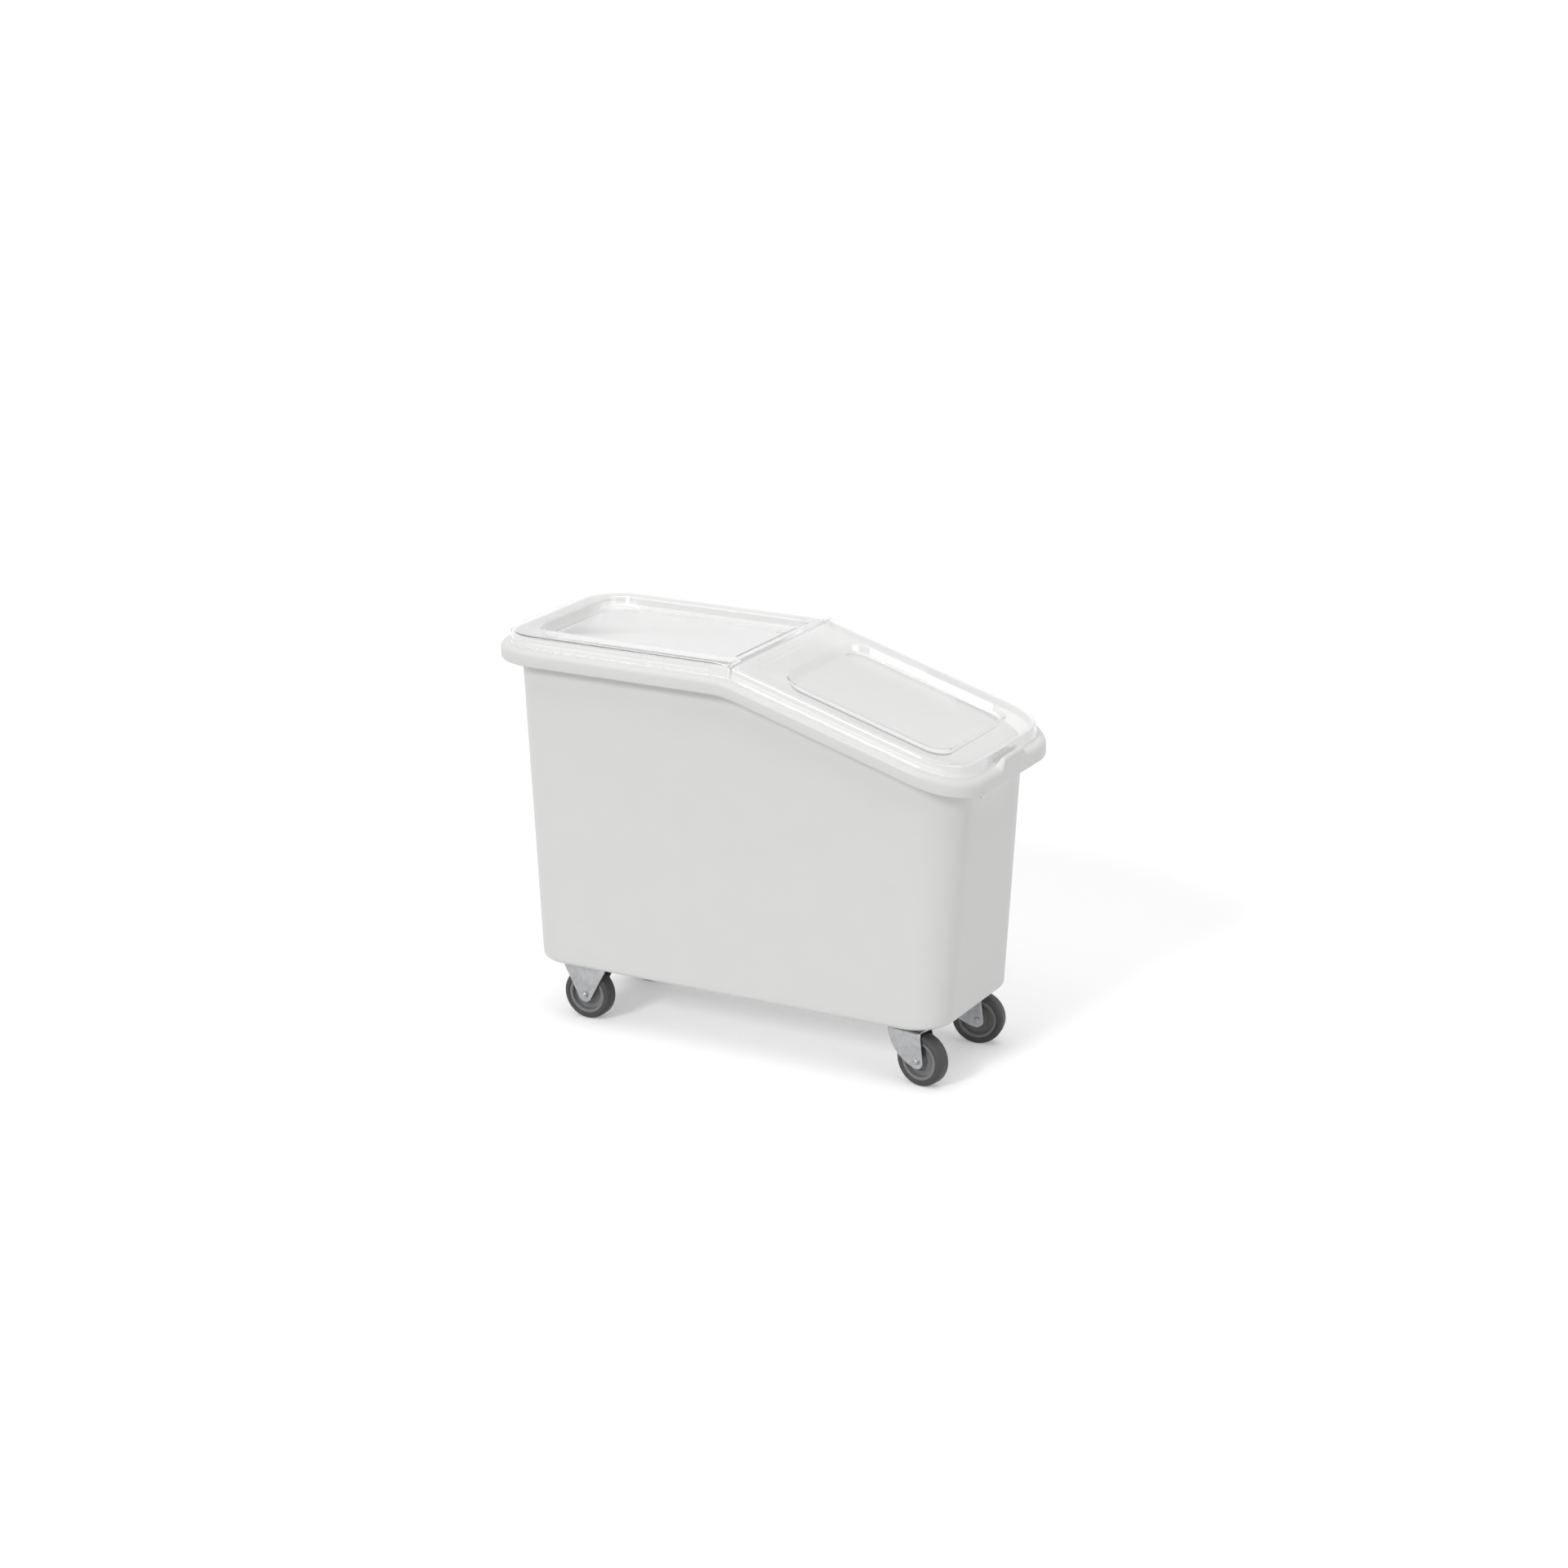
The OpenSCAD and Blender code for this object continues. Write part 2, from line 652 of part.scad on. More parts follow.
// Angle on a fork's tip where a line from a point, given from the tip's centre, touches its front
function tip_start(p) = atan2(p[1], p[0]) - acos(tip_r / norm(p));
function tip_point(a) = tip_r * [cos(a), sin(a)];
function tip_arc(start, end) = [for (i = [0 : tip_steps]) tip_point(mix(start, end, i / tip_steps))];

module rigid_fork() {
    rise = base_z - axle_z;
    start = tip_start([cheek_w / 2, rise]);
    touch = tip_point(start);
    top = plate_z - plate_t / 2 - axle_z;
    top_hw = touch[0] + (cheek_w / 2 - touch[0]) * (top - touch[1]) / (rise - touch[1]);
    color("silver")
    union() {
        difference() {
            translate([0, 0, plate_z - plate_t])
                linear_extrude(plate_t)
                    plate_outline();
            plate_holes();
        }
        cheeks(0)
            translate([0, axle_z])
                polygon(concat(tip_arc(start, -180 - start), [[-top_hw, top], [top_hw, top]]));
    }
}

// Crown of a swivel fork, just over the wheel
crown_z = 2 * wheel_r + crown_rise;

module swivel_fork() {
    crown_mid = crown_z - crown_t / 2;
    start = tip_start([crown_front - trail, crown_mid - axle_z]);
    tip = tip_point(tip_end);
    pull = tip + back_pull * [sin(tip_end), -cos(tip_end)];
    back = [-crown_back - trail, crown_mid - axle_z];
    front = [crown_front - trail, crown_mid - axle_z];
    rear_curve = [for (i = [curve_steps - 1 : -1 : 0]) let (t = i / curve_steps)
        mix(mix(back, pull, t), mix(pull, tip, t), t)];
    color("silver")
    union() {
        difference() {
            translate([-crown_back, -fork_out, crown_z - crown_t])
                cube([crown_back + crown_front, 2 * fork_out, crown_t]);
            translate([0, 0, crown_z - crown_t - over])
                cylinder(r = kingpin_r + run_gap, h = crown_t + 2 * over);
        }
        cheeks(trail)
            translate([trail, axle_z])
                polygon(concat(tip_arc(start, tip_end), rear_curve, [front]));
    }
}

module swivel_plate() {
    color("silver")
    difference() {
        translate([0, 0, plate_z - plate_t])
            linear_extrude(plate_t)
                plate_outline();
        plate_holes();
        translate([0, 0, plate_z - plate_t - over])
            cylinder(r = kingpin_r + fix_gap, h = plate_t + 2 * over);
    }
}

ball_z = crown_z + ball_r + run_gap;

module swivel_race() {
    low = crown_z + part_gap;
    room = ball_r + part_gap;
    color("silver")
    difference() {
        translate([0, 0, low])
            cylinder(r = ball_circle_r + room + race_t, h = plate_z - plate_t - low);
        translate([0, 0, low - over])
            cylinder(r = kingpin_r + fix_gap, h = plate_z - low);
        translate([0, 0, low - over])
            difference() {
                cylinder(r = ball_circle_r + room, h = ball_z + ball_r + run_gap - low + over);
                translate([0, 0, -over])
                    cylinder(r = ball_circle_r - room, h = plate_z - low);
            }
    }
}

module swivel_balls() {
    count = floor(180 / asin((ball_r + part_gap / 2) / ball_circle_r));
    color("lightgray")
    for (i = [0 : count - 1])
        rotate([0, 0, 360 * i / count])
            translate([ball_circle_r, 0, ball_z])
                sphere(r = ball_r);
}

module kingpin() {
    under_z = crown_z - crown_t - part_gap;
    color("silver")
    union() {
        translate([0, 0, under_z - kingpin_head_t])
            cylinder(r = kingpin_head_r, h = kingpin_head_t);
        translate([0, 0, under_z - fix_gap])
            cylinder(r = kingpin_r, h = plate_z - under_z + fix_gap);
    }
}

// Caster fixings: domed bolts from inside the tub, sealing washers and lock nuts
nut_z = plate_z - plate_t;
head_z = floor_z + washer_t;

module caster_bolts() {
    dome_r = (bolt_head_r * bolt_head_r + bolt_head_t * bolt_head_t) / (2 * bolt_head_t);
    end_z = nut_z - caster_nut_t - bolt_end;
    color("silver")
    at_bolts()
        union() {
            translate([0, 0, head_z])
                intersection() {
                    cylinder(r = bolt_head_r, h = bolt_head_t);
                    translate([0, 0, bolt_head_t - dome_r])
                        sphere(r = dome_r);
                }
            translate([0, 0, end_z])
                cylinder(r = bolt_r, h = head_z + fix_gap - end_z);
        }
}

module caster_washers() {
    color("dimgray")
    at_bolts()
        translate([0, 0, floor_z])
            difference() {
                cylinder(r = washer_r, h = washer_t);
                translate([0, 0, -over])
                    cylinder(r = bolt_r + hole_gap, h = washer_t + 2 * over);
            }
}

module caster_nuts() {
    color("silver")
    at_bolts()
        translate([0, 0, nut_z - caster_nut_t])
            difference() {
                cylinder(r = caster_hex_r, h = caster_nut_t, $fn = 6);
                translate([0, 0, -over])
                    cylinder(r = bolt_r + fix_gap, h = caster_nut_t + 2 * over);
            }
}

tub();
rear_lid();
front_lid();
hinge_pin(right);  // right_hinge_pin
hinge_pin(left);  // left_hinge_pin
at_rear(right) rigid_fork();  // rear_right_fork
at_rear(right) on_axle(right) wheel_core();  // rear_right_wheel_core
at_rear(right) on_axle(right) tyre();  // rear_right_tyre
at_rear(right) on_axle(right) axle_sleeve();  // rear_right_axle_sleeve
at_rear(right) on_axle(right) axle_bolt();  // rear_right_axle_bolt
at_rear(right) on_axle(right) axle_nut();  // rear_right_axle_nut
at_rear(left) rigid_fork();  // rear_left_fork
at_rear(left) on_axle(left) wheel_core();  // rear_left_wheel_core
at_rear(left) on_axle(left) tyre();  // rear_left_tyre
at_rear(left) on_axle(left) axle_sleeve();  // rear_left_axle_sleeve
at_rear(left) on_axle(left) axle_bolt();  // rear_left_axle_bolt
at_rear(left) on_axle(left) axle_nut();  // rear_left_axle_nut
at_swivel(right) swivel_plate();  // front_right_plate
at_swivel(right) swivel_race();  // front_right_race
at_front(right) swivel_balls();  // front_right_balls
at_swivel(right) kingpin();  // front_right_kingpin
at_front(right) swivel_fork();  // front_right_fork
at_front_axle(right) on_axle(right) wheel_core();  // front_right_wheel_core
at_front_axle(right) on_axle(right) tyre();  // front_right_tyre
at_front_axle(right) on_axle(right) axle_sleeve();  // front_right_axle_sleeve
at_front_axle(right) on_axle(right) axle_bolt();  // front_right_axle_bolt
at_front_axle(right) on_axle(right) axle_nut();  // front_right_axle_nut
at_swivel(left) swivel_plate();  // front_left_plate
at_swivel(left) swivel_race();  // front_left_race
at_front(left) swivel_balls();  // front_left_balls
at_swivel(left) kingpin();  // front_left_kingpin
at_front(left) swivel_fork();  // front_left_fork
at_front_axle(left) on_axle(left) wheel_core();  // front_left_wheel_core
at_front_axle(left) on_axle(left) tyre();  // front_left_tyre
at_front_axle(left) on_axle(left) axle_sleeve();  // front_left_axle_sleeve
at_front_axle(left) on_axle(left) axle_bolt();  // front_left_axle_bolt
at_front_axle(left) on_axle(left) axle_nut();  // front_left_axle_nut
caster_bolts();
caster_washers();
caster_nuts();
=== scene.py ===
import math

import bmesh
import bpy
from mathutils import Matrix, Vector


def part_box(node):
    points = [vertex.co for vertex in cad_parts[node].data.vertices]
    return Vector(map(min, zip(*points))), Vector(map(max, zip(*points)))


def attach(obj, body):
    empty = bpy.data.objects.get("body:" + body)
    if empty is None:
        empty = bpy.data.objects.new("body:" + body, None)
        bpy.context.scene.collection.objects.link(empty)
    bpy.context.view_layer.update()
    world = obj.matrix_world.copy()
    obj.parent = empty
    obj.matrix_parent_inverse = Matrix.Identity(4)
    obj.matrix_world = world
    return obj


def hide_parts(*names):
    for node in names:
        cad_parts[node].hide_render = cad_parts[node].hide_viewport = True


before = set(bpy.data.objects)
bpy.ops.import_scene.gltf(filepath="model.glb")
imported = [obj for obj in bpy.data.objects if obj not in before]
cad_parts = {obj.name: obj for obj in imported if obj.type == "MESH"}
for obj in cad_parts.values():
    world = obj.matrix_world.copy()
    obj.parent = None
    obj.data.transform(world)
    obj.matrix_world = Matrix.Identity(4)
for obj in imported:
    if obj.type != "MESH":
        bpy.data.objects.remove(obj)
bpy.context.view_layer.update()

# Studio: a pale floor that runs into a white background, a wide soft box overhead, a smaller one beside
# the camera, a weak one at the right and an even sky. The camera stands where the photograph was taken.
# Sizes here are in metres.
scene = bpy.context.scene
scene.view_settings.view_transform = "Standard"


def linear(code):
    """An sRGB hex colour as linear red, green, blue and alpha."""
    shares = [int(code[i:i + 2], 16) / 255 for i in (1, 3, 5)]
    return [s / 12.92 if s <= 0.04045 else ((s + 0.055) / 1.055) ** 2.4 for s in shares] + [1]


def add(tree, kind, inputs=None, **settings):
    """Adds a shader node with its settings, and its inputs as values or as links."""
    made = tree.nodes.new("ShaderNode" + kind)
    for name, value in settings.items():
        setattr(made, name, value)
    for name, value in (inputs or {}).items():
        if isinstance(value, bpy.types.NodeSocket):
            tree.links.new(value, made.inputs[name])
        else:
            made.inputs[name].default_value = value
    return made.outputs


def seen(tree):
    """1 for the rays that show the background: the camera's, and those off metal or through glass."""
    path = add(tree, "LightPath")
    rays = path["Is Camera Ray"]
    for kind in ("Is Glossy Ray", "Is Transmission Ray"):
        rays = add(tree, "Math", {0: rays, 1: path[kind]}, operation="MAXIMUM")[0]
    return rays


sky_strength = 0.235
white_strength = 1.15
world = bpy.data.worlds.new("even_sky")
world.use_nodes = True
scene.world = world
tree = world.node_tree
tree.nodes.clear()
white_sky = add(tree, "Background", {"Color": linear("#FFFFFF"), "Strength": white_strength})
lighting_sky = add(tree, "Background", {"Color": linear("#FFFFFF"), "Strength": sky_strength})
sky = add(tree, "MixShader", {0: seen(tree), 1: lighting_sky[0], 2: white_sky[0]})
add(tree, "OutputWorld", {"Surface": sky[0]})

# Pale floor paint: dull. It throws light back as a pale floor does, and where it is seen it is white, with
# the object's soft shadow on it.
floor_half = 30
floor_shade = 1.2
floor_lift = 0.25
floor_paint = bpy.data.materials.new("pale_floor_paint")
floor_paint.use_nodes = True
tree = floor_paint.node_tree
tree.nodes.clear()
bounce = add(tree, "BsdfDiffuse", {"Color": linear("#E2E2E2")})
shade = add(tree, "BsdfDiffuse", {"Color": [floor_shade] * 3 + [1]})
lift = add(tree, "Emission", {"Color": linear("#FFFFFF"), "Strength": floor_lift})
shown = add(tree, "AddShader", {0: shade[0], 1: lift[0]})
floor_mix = add(tree, "MixShader", {0: seen(tree), 1: bounce[0], 2: shown[0]})
add(tree, "OutputMaterial", {"Surface": floor_mix[0]})
bm = bmesh.new()
bmesh.ops.create_grid(bm, x_segments=1, y_segments=1, size=floor_half)
mesh = bpy.data.meshes.new("floor")
bm.to_mesh(mesh)
bm.free()
mesh.materials.append(floor_paint)
floor = bpy.data.objects.new("floor", mesh)
scene.collection.objects.link(floor)

for name, energy, spread, aim in (("overhead_soft_box", 1, 75, (0.05, 0.03, -1)),
                                  ("front_soft_box", 0.94, 14, (0.15, 0.88, -0.53)),
                                  ("right_soft_box", 0.36, 40, (-0.95, 0.15, -0.35))):
    soft_box = bpy.data.lights.new(name, "SUN")
    soft_box.energy = energy
    soft_box.angle = math.radians(spread)
    lamp = bpy.data.objects.new(name, soft_box)
    lamp.rotation_mode = "QUATERNION"
    lamp.rotation_quaternion = Vector(aim).to_track_quat("-Z", "Y")
    scene.collection.objects.link(lamp)

azimuth = math.radians(28.3)
elevation = math.radians(17.4)
view_distance = 4.8659
view_target = Vector((0.0138, 0.0127, 0.3647))
back = Vector((math.sin(azimuth), -math.cos(azimuth), math.tan(elevation))).normalized()
camera = bpy.data.objects.new("camera", bpy.data.cameras.new("camera"))
camera.data.sensor_width = 36
camera.data.lens = 79.28
camera.location = view_target + back * view_distance
camera.rotation_mode = "QUATERNION"
camera.rotation_quaternion = (-back).to_track_quat("-Z", "Y")
scene.collection.objects.link(camera)
scene.camera = camera

# Tub: one moulding in white polypropylene with drafted walls. Its rim rolls outwards into a hollow
# bead that is level at the rear and slopes down at the front, an upstand inside the bead takes the
# lids, and a recess under the floor takes the caster plates. Sizes are in millimetres.
tiny = 0.001
sharp_angle = math.radians(38)
corner_cuts = 14
side_cuts = 70
end_cuts = 41
low, high = (corner * 1000 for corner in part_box("tub"))
base_z = low.z
rim_hl = high.x
rim_hw = high.y
rim_r = 78

# Wall and floor, with the wall's place inside the rim's edge at the ends and at the sides
wall = 4
end_in = 20
side_in = 27
end_draft = math.tan(math.radians(3.8))
side_draft = math.tan(math.radians(0.9))
corner_draft = math.tan(math.radians(2.4))
floor_t = 5
floor_fillet = 10
recess_d = 8
foot_out_r = 8
foot_in_r = 3

# Rolled bead, the hollow under it, and the upstand
bead_h = 22
bead_r = 8
lip_t = 5
hollow_h = 13
flare_h = 12
upstand_in = 18.5
upstand_t = 4
upstand_h = 35.5
upstand_r = 1
shelf_fillet = 2

# Grip apron and finger lip at the front end
apron_d = 32
apron_share = 0.6
apron_hollow_share = 0.4
apron_foot_share = 0.7
apron_lip_shares = (0.8, 0.87, 0.93, 0.97, 0.995, None, None)
tongue_hw = 41
tongue_end = 13
tongue_h = 13
tongue_t = 7
tongue_r = 3
tongue_edge = 0.9

# Line of the rim: level, then a bend, then a slope
bend_start = -9.6
bend_r = 150
slope = math.radians(16.4)
bend_end = bend_start + bend_r * math.sin(slope)
rim_z = high.z - upstand_h
wall_h = rim_z - base_z
base_hl = rim_hl - end_in - wall_h * end_draft
base_hw = rim_hw - side_in - wall_h * side_draft
base_r = 55
lip_r = lip_t / 2
lip_edge = lip_r * (1 - math.sqrt(0.5))
floor_z = base_z + recess_d + floor_t
tongue_top = bead_h + tongue_h
settle_rounds = 3


def rim_at(x):
    """Height of the bead's lower edge along X: level, then an arc, then the slope."""
    if x < bend_start:
        return rim_z
    if x < bend_end:
        return rim_z - bend_r + math.sqrt(bend_r ** 2 - (x - bend_start) ** 2)
    return rim_z - bend_r * (1 - math.cos(slope)) - (x - bend_end) * math.tan(slope)


def outline(bm, front, rear, half_width, front_r, rear_r):
    """A level outline with round corners, as edges, cut finely so that it can follow the bend."""
    before = set(bm.edges)
    corners = bmesh.ops.create_grid(bm, x_segments=1, y_segments=1, size=1)["verts"]
    for v in corners:
        v.co.x, v.co.y = (front if v.co.x > 0 else rear), v.co.y * half_width
    for x, radius in ((front, front_r), (rear, rear_r)):
        ends = [v for v in corners if v.is_valid and abs(v.co.x - x) < tiny]
        bmesh.ops.bevel(bm, geom=ends, offset=radius, segments=corner_cuts, profile=0.5,
                        affect="VERTICES", material=-1)
    made = [e for e in bm.edges if e not in before]
    bmesh.ops.delete(bm, geom=made[0].link_faces[:], context="FACES_ONLY")
    for axis, cuts in ((1, side_cuts), (0, end_cuts)):
        straight = [e for e in made if abs(e.verts[0].co[axis] - e.verts[1].co[axis]) < tiny]
        bmesh.ops.bisect_edges(bm, edges=straight, cuts=cuts)
    return [e for e in bm.edges if e not in before]


def points(loop):
    """The vertices of a loop of edges."""
    return {v for e in loop for v in e.verts}


def front_share(v, front, half_straight):
    """Where a vertex lies on the straight part of the front end: 0 in its middle and 1 at its ends."""
    return abs(v.co.y) / half_straight if front - v.co.x < tiny else math.inf


def eased(share):
    """A share that is kept between 0 and 1 and starts and ends smoothly."""
    share = max(0, min(1, share))
    return share * share * (3 - 2 * share)


def apron_at(share):
    """How much of the apron there is at a place on the front end: all in its middle, none at its ends."""
    return eased((1 - share) / (1 - apron_share))


def wall_loop(bm, inset, height, apron_drop=0):
    """A loop round the wall, inside its outer face by inset, at a height that may depend on X. The draft
    moves X with the height, so a few rounds settle the two."""
    loop = outline(bm, base_hl - inset, inset - base_hl, base_hw - inset, base_r - inset, base_r - inset)
    core = Vector((base_hl - base_r, base_hw - base_r, 0))
    for v in points(loop):
        middle = Vector((max(-core.x, min(core.x, v.co.x)), max(-core.y, min(core.y, v.co.y)), 0))
        away = (v.co - middle).normalized()
        drop = apron_drop * apron_at(front_share(v, base_hl - inset, core.y))
        for settle_round in range(settle_rounds):
            up = height(v.co.x) - drop - base_z
            longer = 1 + up * (end_draft - corner_draft) / core.x
            wider = 1 + up * (side_draft - corner_draft) / core.y
            corner_r = base_r - inset + up * corner_draft
            v.co = Vector((middle.x * longer, middle.y * wider, 0)) + away * corner_r
        v.co.z = base_z + up
    return loop


def rim_loop(bm, inset, rise, tongue=None, apron=None):
    """A loop round the rim, inside the bead's edge by inset and above its lower edge by rise. Over the
    finger lip it takes the lip's own inset and height, and on the apron it is a share of the way along
    a curve that leaves the wall smoothly and ends in the bead's round lower edge."""
    foot_z = rim_at(rim_hl - end_in) - apron_d
    on_wall = foot_z, foot_z + apron_d / 2
    foot, bend = (Vector((base_hl + (z - base_z) * end_draft, 0, z)) for z in on_wall)
    edge = Vector((rim_hl - lip_edge, 0, rim_at(rim_hl - lip_edge) + lip_edge))
    front = rim_hl - inset
    loop = outline(bm, front, -front, rim_hw - inset, rim_r - inset, rim_r - inset)
    for v in points(loop):
        share = front_share(v, front, rim_hw - rim_r)
        over = rise
        if tongue:
            raised = eased((tongue_hw - share * (rim_hw - rim_r)) / tongue_end)
            v.co.x += (inset - tongue[0]) * raised
            over += (tongue[1] - rise) * raised
        v.co.z = rim_at(v.co.x) + over
        if apron:
            curve = foot.lerp(bend, apron).lerp(bend.lerp(edge, apron), apron)
            curve.y = v.co.y
            v.co = v.co.lerp(curve, apron_at(share))
    return loop


def arc(steps, start=0, end=90):
    """Sine and cosine at even steps from one angle to another, in degrees."""
    angles = [math.radians(start + (end - start) * i / steps) for i in range(steps + 1)]
    return [(math.sin(a), math.cos(a)) for a in angles]


def loft(bm, loops):
    """Closes a row of loops into one skin, with a flat face over its first and last loop."""
    for one, other in zip(loops, loops[1:]):
        bmesh.ops.bridge_loops(bm, edges=one + other)
    for end in (loops[0], loops[-1]):
        bmesh.ops.contextual_create(bm, geom=end)
    bmesh.ops.recalc_face_normals(bm, faces=bm.faces)


def finish(name, bm, material, body, nodes):
    """Turns a mesh in millimetres into a piece in metres that rides on a body and stands for nodes."""
    bmesh.ops.scale(bm, vec=[0.001] * 3, verts=bm.verts)
    mesh = bpy.data.meshes.new(name)
    bm.to_mesh(mesh)
    bm.free()
    mesh.materials.append(material)
    mesh.shade_smooth()
    mesh.set_sharp_from_angle(angle=sharp_angle)
    piece = bpy.data.objects.new(name, mesh)
    scene.collection.objects.link(piece)
    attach(piece, body)
    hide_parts(*nodes)
    return piece


def new_material(name):
    """An empty material and its node tree."""
    material = bpy.data.materials.new(name)
    material.use_nodes = True
    material.node_tree.nodes.clear()
    return material, material.node_tree


# White polypropylene, moulded: satin, faintly uneven in gloss, with the fine grain of a spark-eroded
# mould. The grain is drawn at 1.5 mm, three times as coarse as it is, so that it shows.
polypropylene, tree = new_material("white_polypropylene")
place = add(tree, "TexCoord")["Object"]
cloud = add(tree, "TexNoise", {"Vector": place, "Scale": 1 / 0.06, "Detail": 3})
grain = add(tree, "TexNoise", {"Vector": place, "Scale": 1 / 0.0015, "Detail": 2})
gloss = add(tree, "MapRange", {"Value": cloud["Fac"], "To Min": 0.34, "To Max": 0.46})
tint = add(tree, "Mix", {0: cloud["Fac"], 6: linear("#F5F5F4"), 7: linear("#F9F9F8")}, data_type="RGBA")
relief = add(tree, "Bump", {"Height": grain["Fac"], "Strength": 0.06, "Distance": 0.0003})
shader = add(tree, "BsdfPrincipled", {"Base Color": tint[2], "Roughness": gloss[0], "IOR": 1.49,
                                      "Normal": relief[0]})
add(tree, "OutputMaterial", {"Surface": shader[0]})

bm = bmesh.new()
tub_loops = [wall_loop(bm, foot_out_r + foot_in_r, lambda x: base_z + recess_d)]
for sin, cos in arc(5):
    inset = foot_out_r + foot_in_r * cos
    tub_loops.append(wall_loop(bm, inset, lambda x: base_z + foot_in_r * (1 - sin)))
for sin, cos in arc(8)[1:]:
    tub_loops.append(wall_loop(bm, foot_out_r * (1 - sin), lambda x: base_z + foot_out_r * (1 - cos)))
tub_loops += [wall_loop(bm, 0, lambda x: base_z + 2 * foot_out_r),
              wall_loop(bm, 0, lambda x: rim_at(x) - 2 * apron_d),
              wall_loop(bm, 0, lambda x: rim_at(x) + hollow_h, apron_drop=hollow_h + apron_d),
              rim_loop(bm, lip_t, hollow_h, apron=apron_hollow_share),
              rim_loop(bm, lip_t, lip_r, apron=apron_foot_share)]
for (sin, cos), apron in zip(arc(6, -60, 90), apron_lip_shares):
    tub_loops.append(rim_loop(bm, lip_r * (1 - sin), lip_r * (1 - cos), apron=apron))
for sin, cos in arc(8):
    tongue = tongue_r * (1 - cos), tongue_top - tongue_r * (1 - sin)
    tub_loops.append(rim_loop(bm, bead_r * (1 - cos), bead_h - bead_r * (1 - sin), tongue))
tongue_back = [(tongue_t - tongue_r, tongue_top), (tongue_t - tongue_edge, tongue_top - tongue_edge),
               (tongue_t, tongue_top - tongue_r), (tongue_t, bead_h)]
for i, tongue in enumerate(tongue_back, 1):
    tub_loops.append(rim_loop(bm, bead_r + i, bead_h, tongue))
for sin, cos in arc(3):
    inset = upstand_in - shelf_fillet * (1 - sin)
    tub_loops.append(rim_loop(bm, inset, bead_h + shelf_fillet * (1 - cos)))
for sin, cos in arc(3):
    tub_loops.append(rim_loop(bm, upstand_in + upstand_r * (1 - cos), upstand_h - upstand_r * (1 - sin)))
inner_in = upstand_in + upstand_t
for sin, cos in arc(3):
    tub_loops.append(rim_loop(bm, inner_in - upstand_r * (1 - sin), upstand_h - upstand_r * (1 - cos)))
tub_loops += [rim_loop(bm, inner_in, hollow_h + flare_h),
              wall_loop(bm, wall, lambda x: rim_at(x) + hollow_h),
              wall_loop(bm, wall, lambda x: rim_at(x) - hollow_h),
              wall_loop(bm, wall, lambda x: floor_z + 2 * floor_fillet)]
for sin, cos in arc(6):
    inset = wall + floor_fillet * (1 - cos)
    tub_loops.append(wall_loop(bm, inset, lambda x: floor_z + floor_fillet * (1 - sin)))
loft(bm, tub_loops)
finish("moulded_tub", bm, polypropylene, "tub", ["tub"])

# Lids: two clear polycarbonate mouldings, each with a skirt that fits round the upstand, a thicker band
# along the skirt's foot and a sunken panel. Knuckles moulded on at both ends of the ridge take the pins.
lid_h = 41
lid_t = 2.6
lid_in = 14
lid_r = 61
lid_edge_r = 5
least_r = 0.4
lid_end = rim_hl - lid_in
lid_hw = rim_hw - lid_in

# Skirt and the band along its foot
skirt_d = 18.7
band_h = 7
band_out = 1.2
foot_edge = 0.6
under_fillet = 0.8

# Ridge: the lids' edges beside the hinge line, and the rear lid's flange and tab under them
low, high = (corner * 1000 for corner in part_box("right_hinge_pin"))
hinge_x = (low.x + high.x) / 2
hinge_z = (low.z + high.z) / 2
ridge_gap = 0.5
ridge_r = 4
ridge_edge_r = 1
ridge_d = 5.2
ridge_corner_share = 0.6
flange_d = 10
flange_hw = 138.5
tab_d = 23
tab_hw = 68

# Hinge: knuckles in turn along the pins, each with room in the other lid
pin_end = -low.y
pin_r = (high.x - low.x) / 2
pin_len = high.y - low.y
pin_play = 0.1
knuckle_r = 3.4
knuckle_len = 11
knuckle_gap = 0.5

# Sunken panels: the border round them, and the section of their edge, as insets and drops
border = 42
panel_r = 30
panel_under = [(5.5, 13.6), (4, 13.4), (2.4, 12.8), (1.3, 11.5), (-1.5, 4), (-2.6, 2.95), (-4.4, lid_t)]
panel_top = [(-2, 0), (-0.9, 0.25), (0, 0.9), (0.6, 2.2), (3.2, 9.2), (3.9, 10.3), (5, 10.85), (6.5, 11)]
bend_x = bend_start + bend_r * math.tan(slope / 2)


def lid_at(x):
    """Height of the lids' top face along X."""
    return rim_at(x) + lid_h


def panel_at(x):
    """Height that a panel is sunk from: level in the rear lid and on the slope in the front one."""
    return rim_z + lid_h if x < bend_x else lid_at(x)


def ridge_depth(facing, y):
    """Depth of the ridge's flange: the rear lid has a deeper flange inside the upstand, and a tab."""
    if facing < 0 or y > flange_hw:
        return ridge_d
    return flange_d if y > tab_hw else tab_d


def skirt(depth, on_ridge):
    """Section of a skirt as insets and drops, from the underside round its foot to its upper edge."""
    out, r = (0, ridge_edge_r) if on_ridge else (band_out, lid_edge_r)
    band, step = [(depth - r) / 3] * 2 if on_ridge else (band_h, band_out)
    inner = out + lid_t
    section = [(inner + under_fillet, lid_t), (inner, lid_t + under_fillet), (inner, depth - foot_edge),
               (inner - foot_edge, depth), (foot_edge, depth), (0, depth - foot_edge), (0, depth - band),
               (out, depth - band - step)]
    return section + [(out + r * (1 - cos), r * (1 - sin)) for sin, cos in arc(6)]


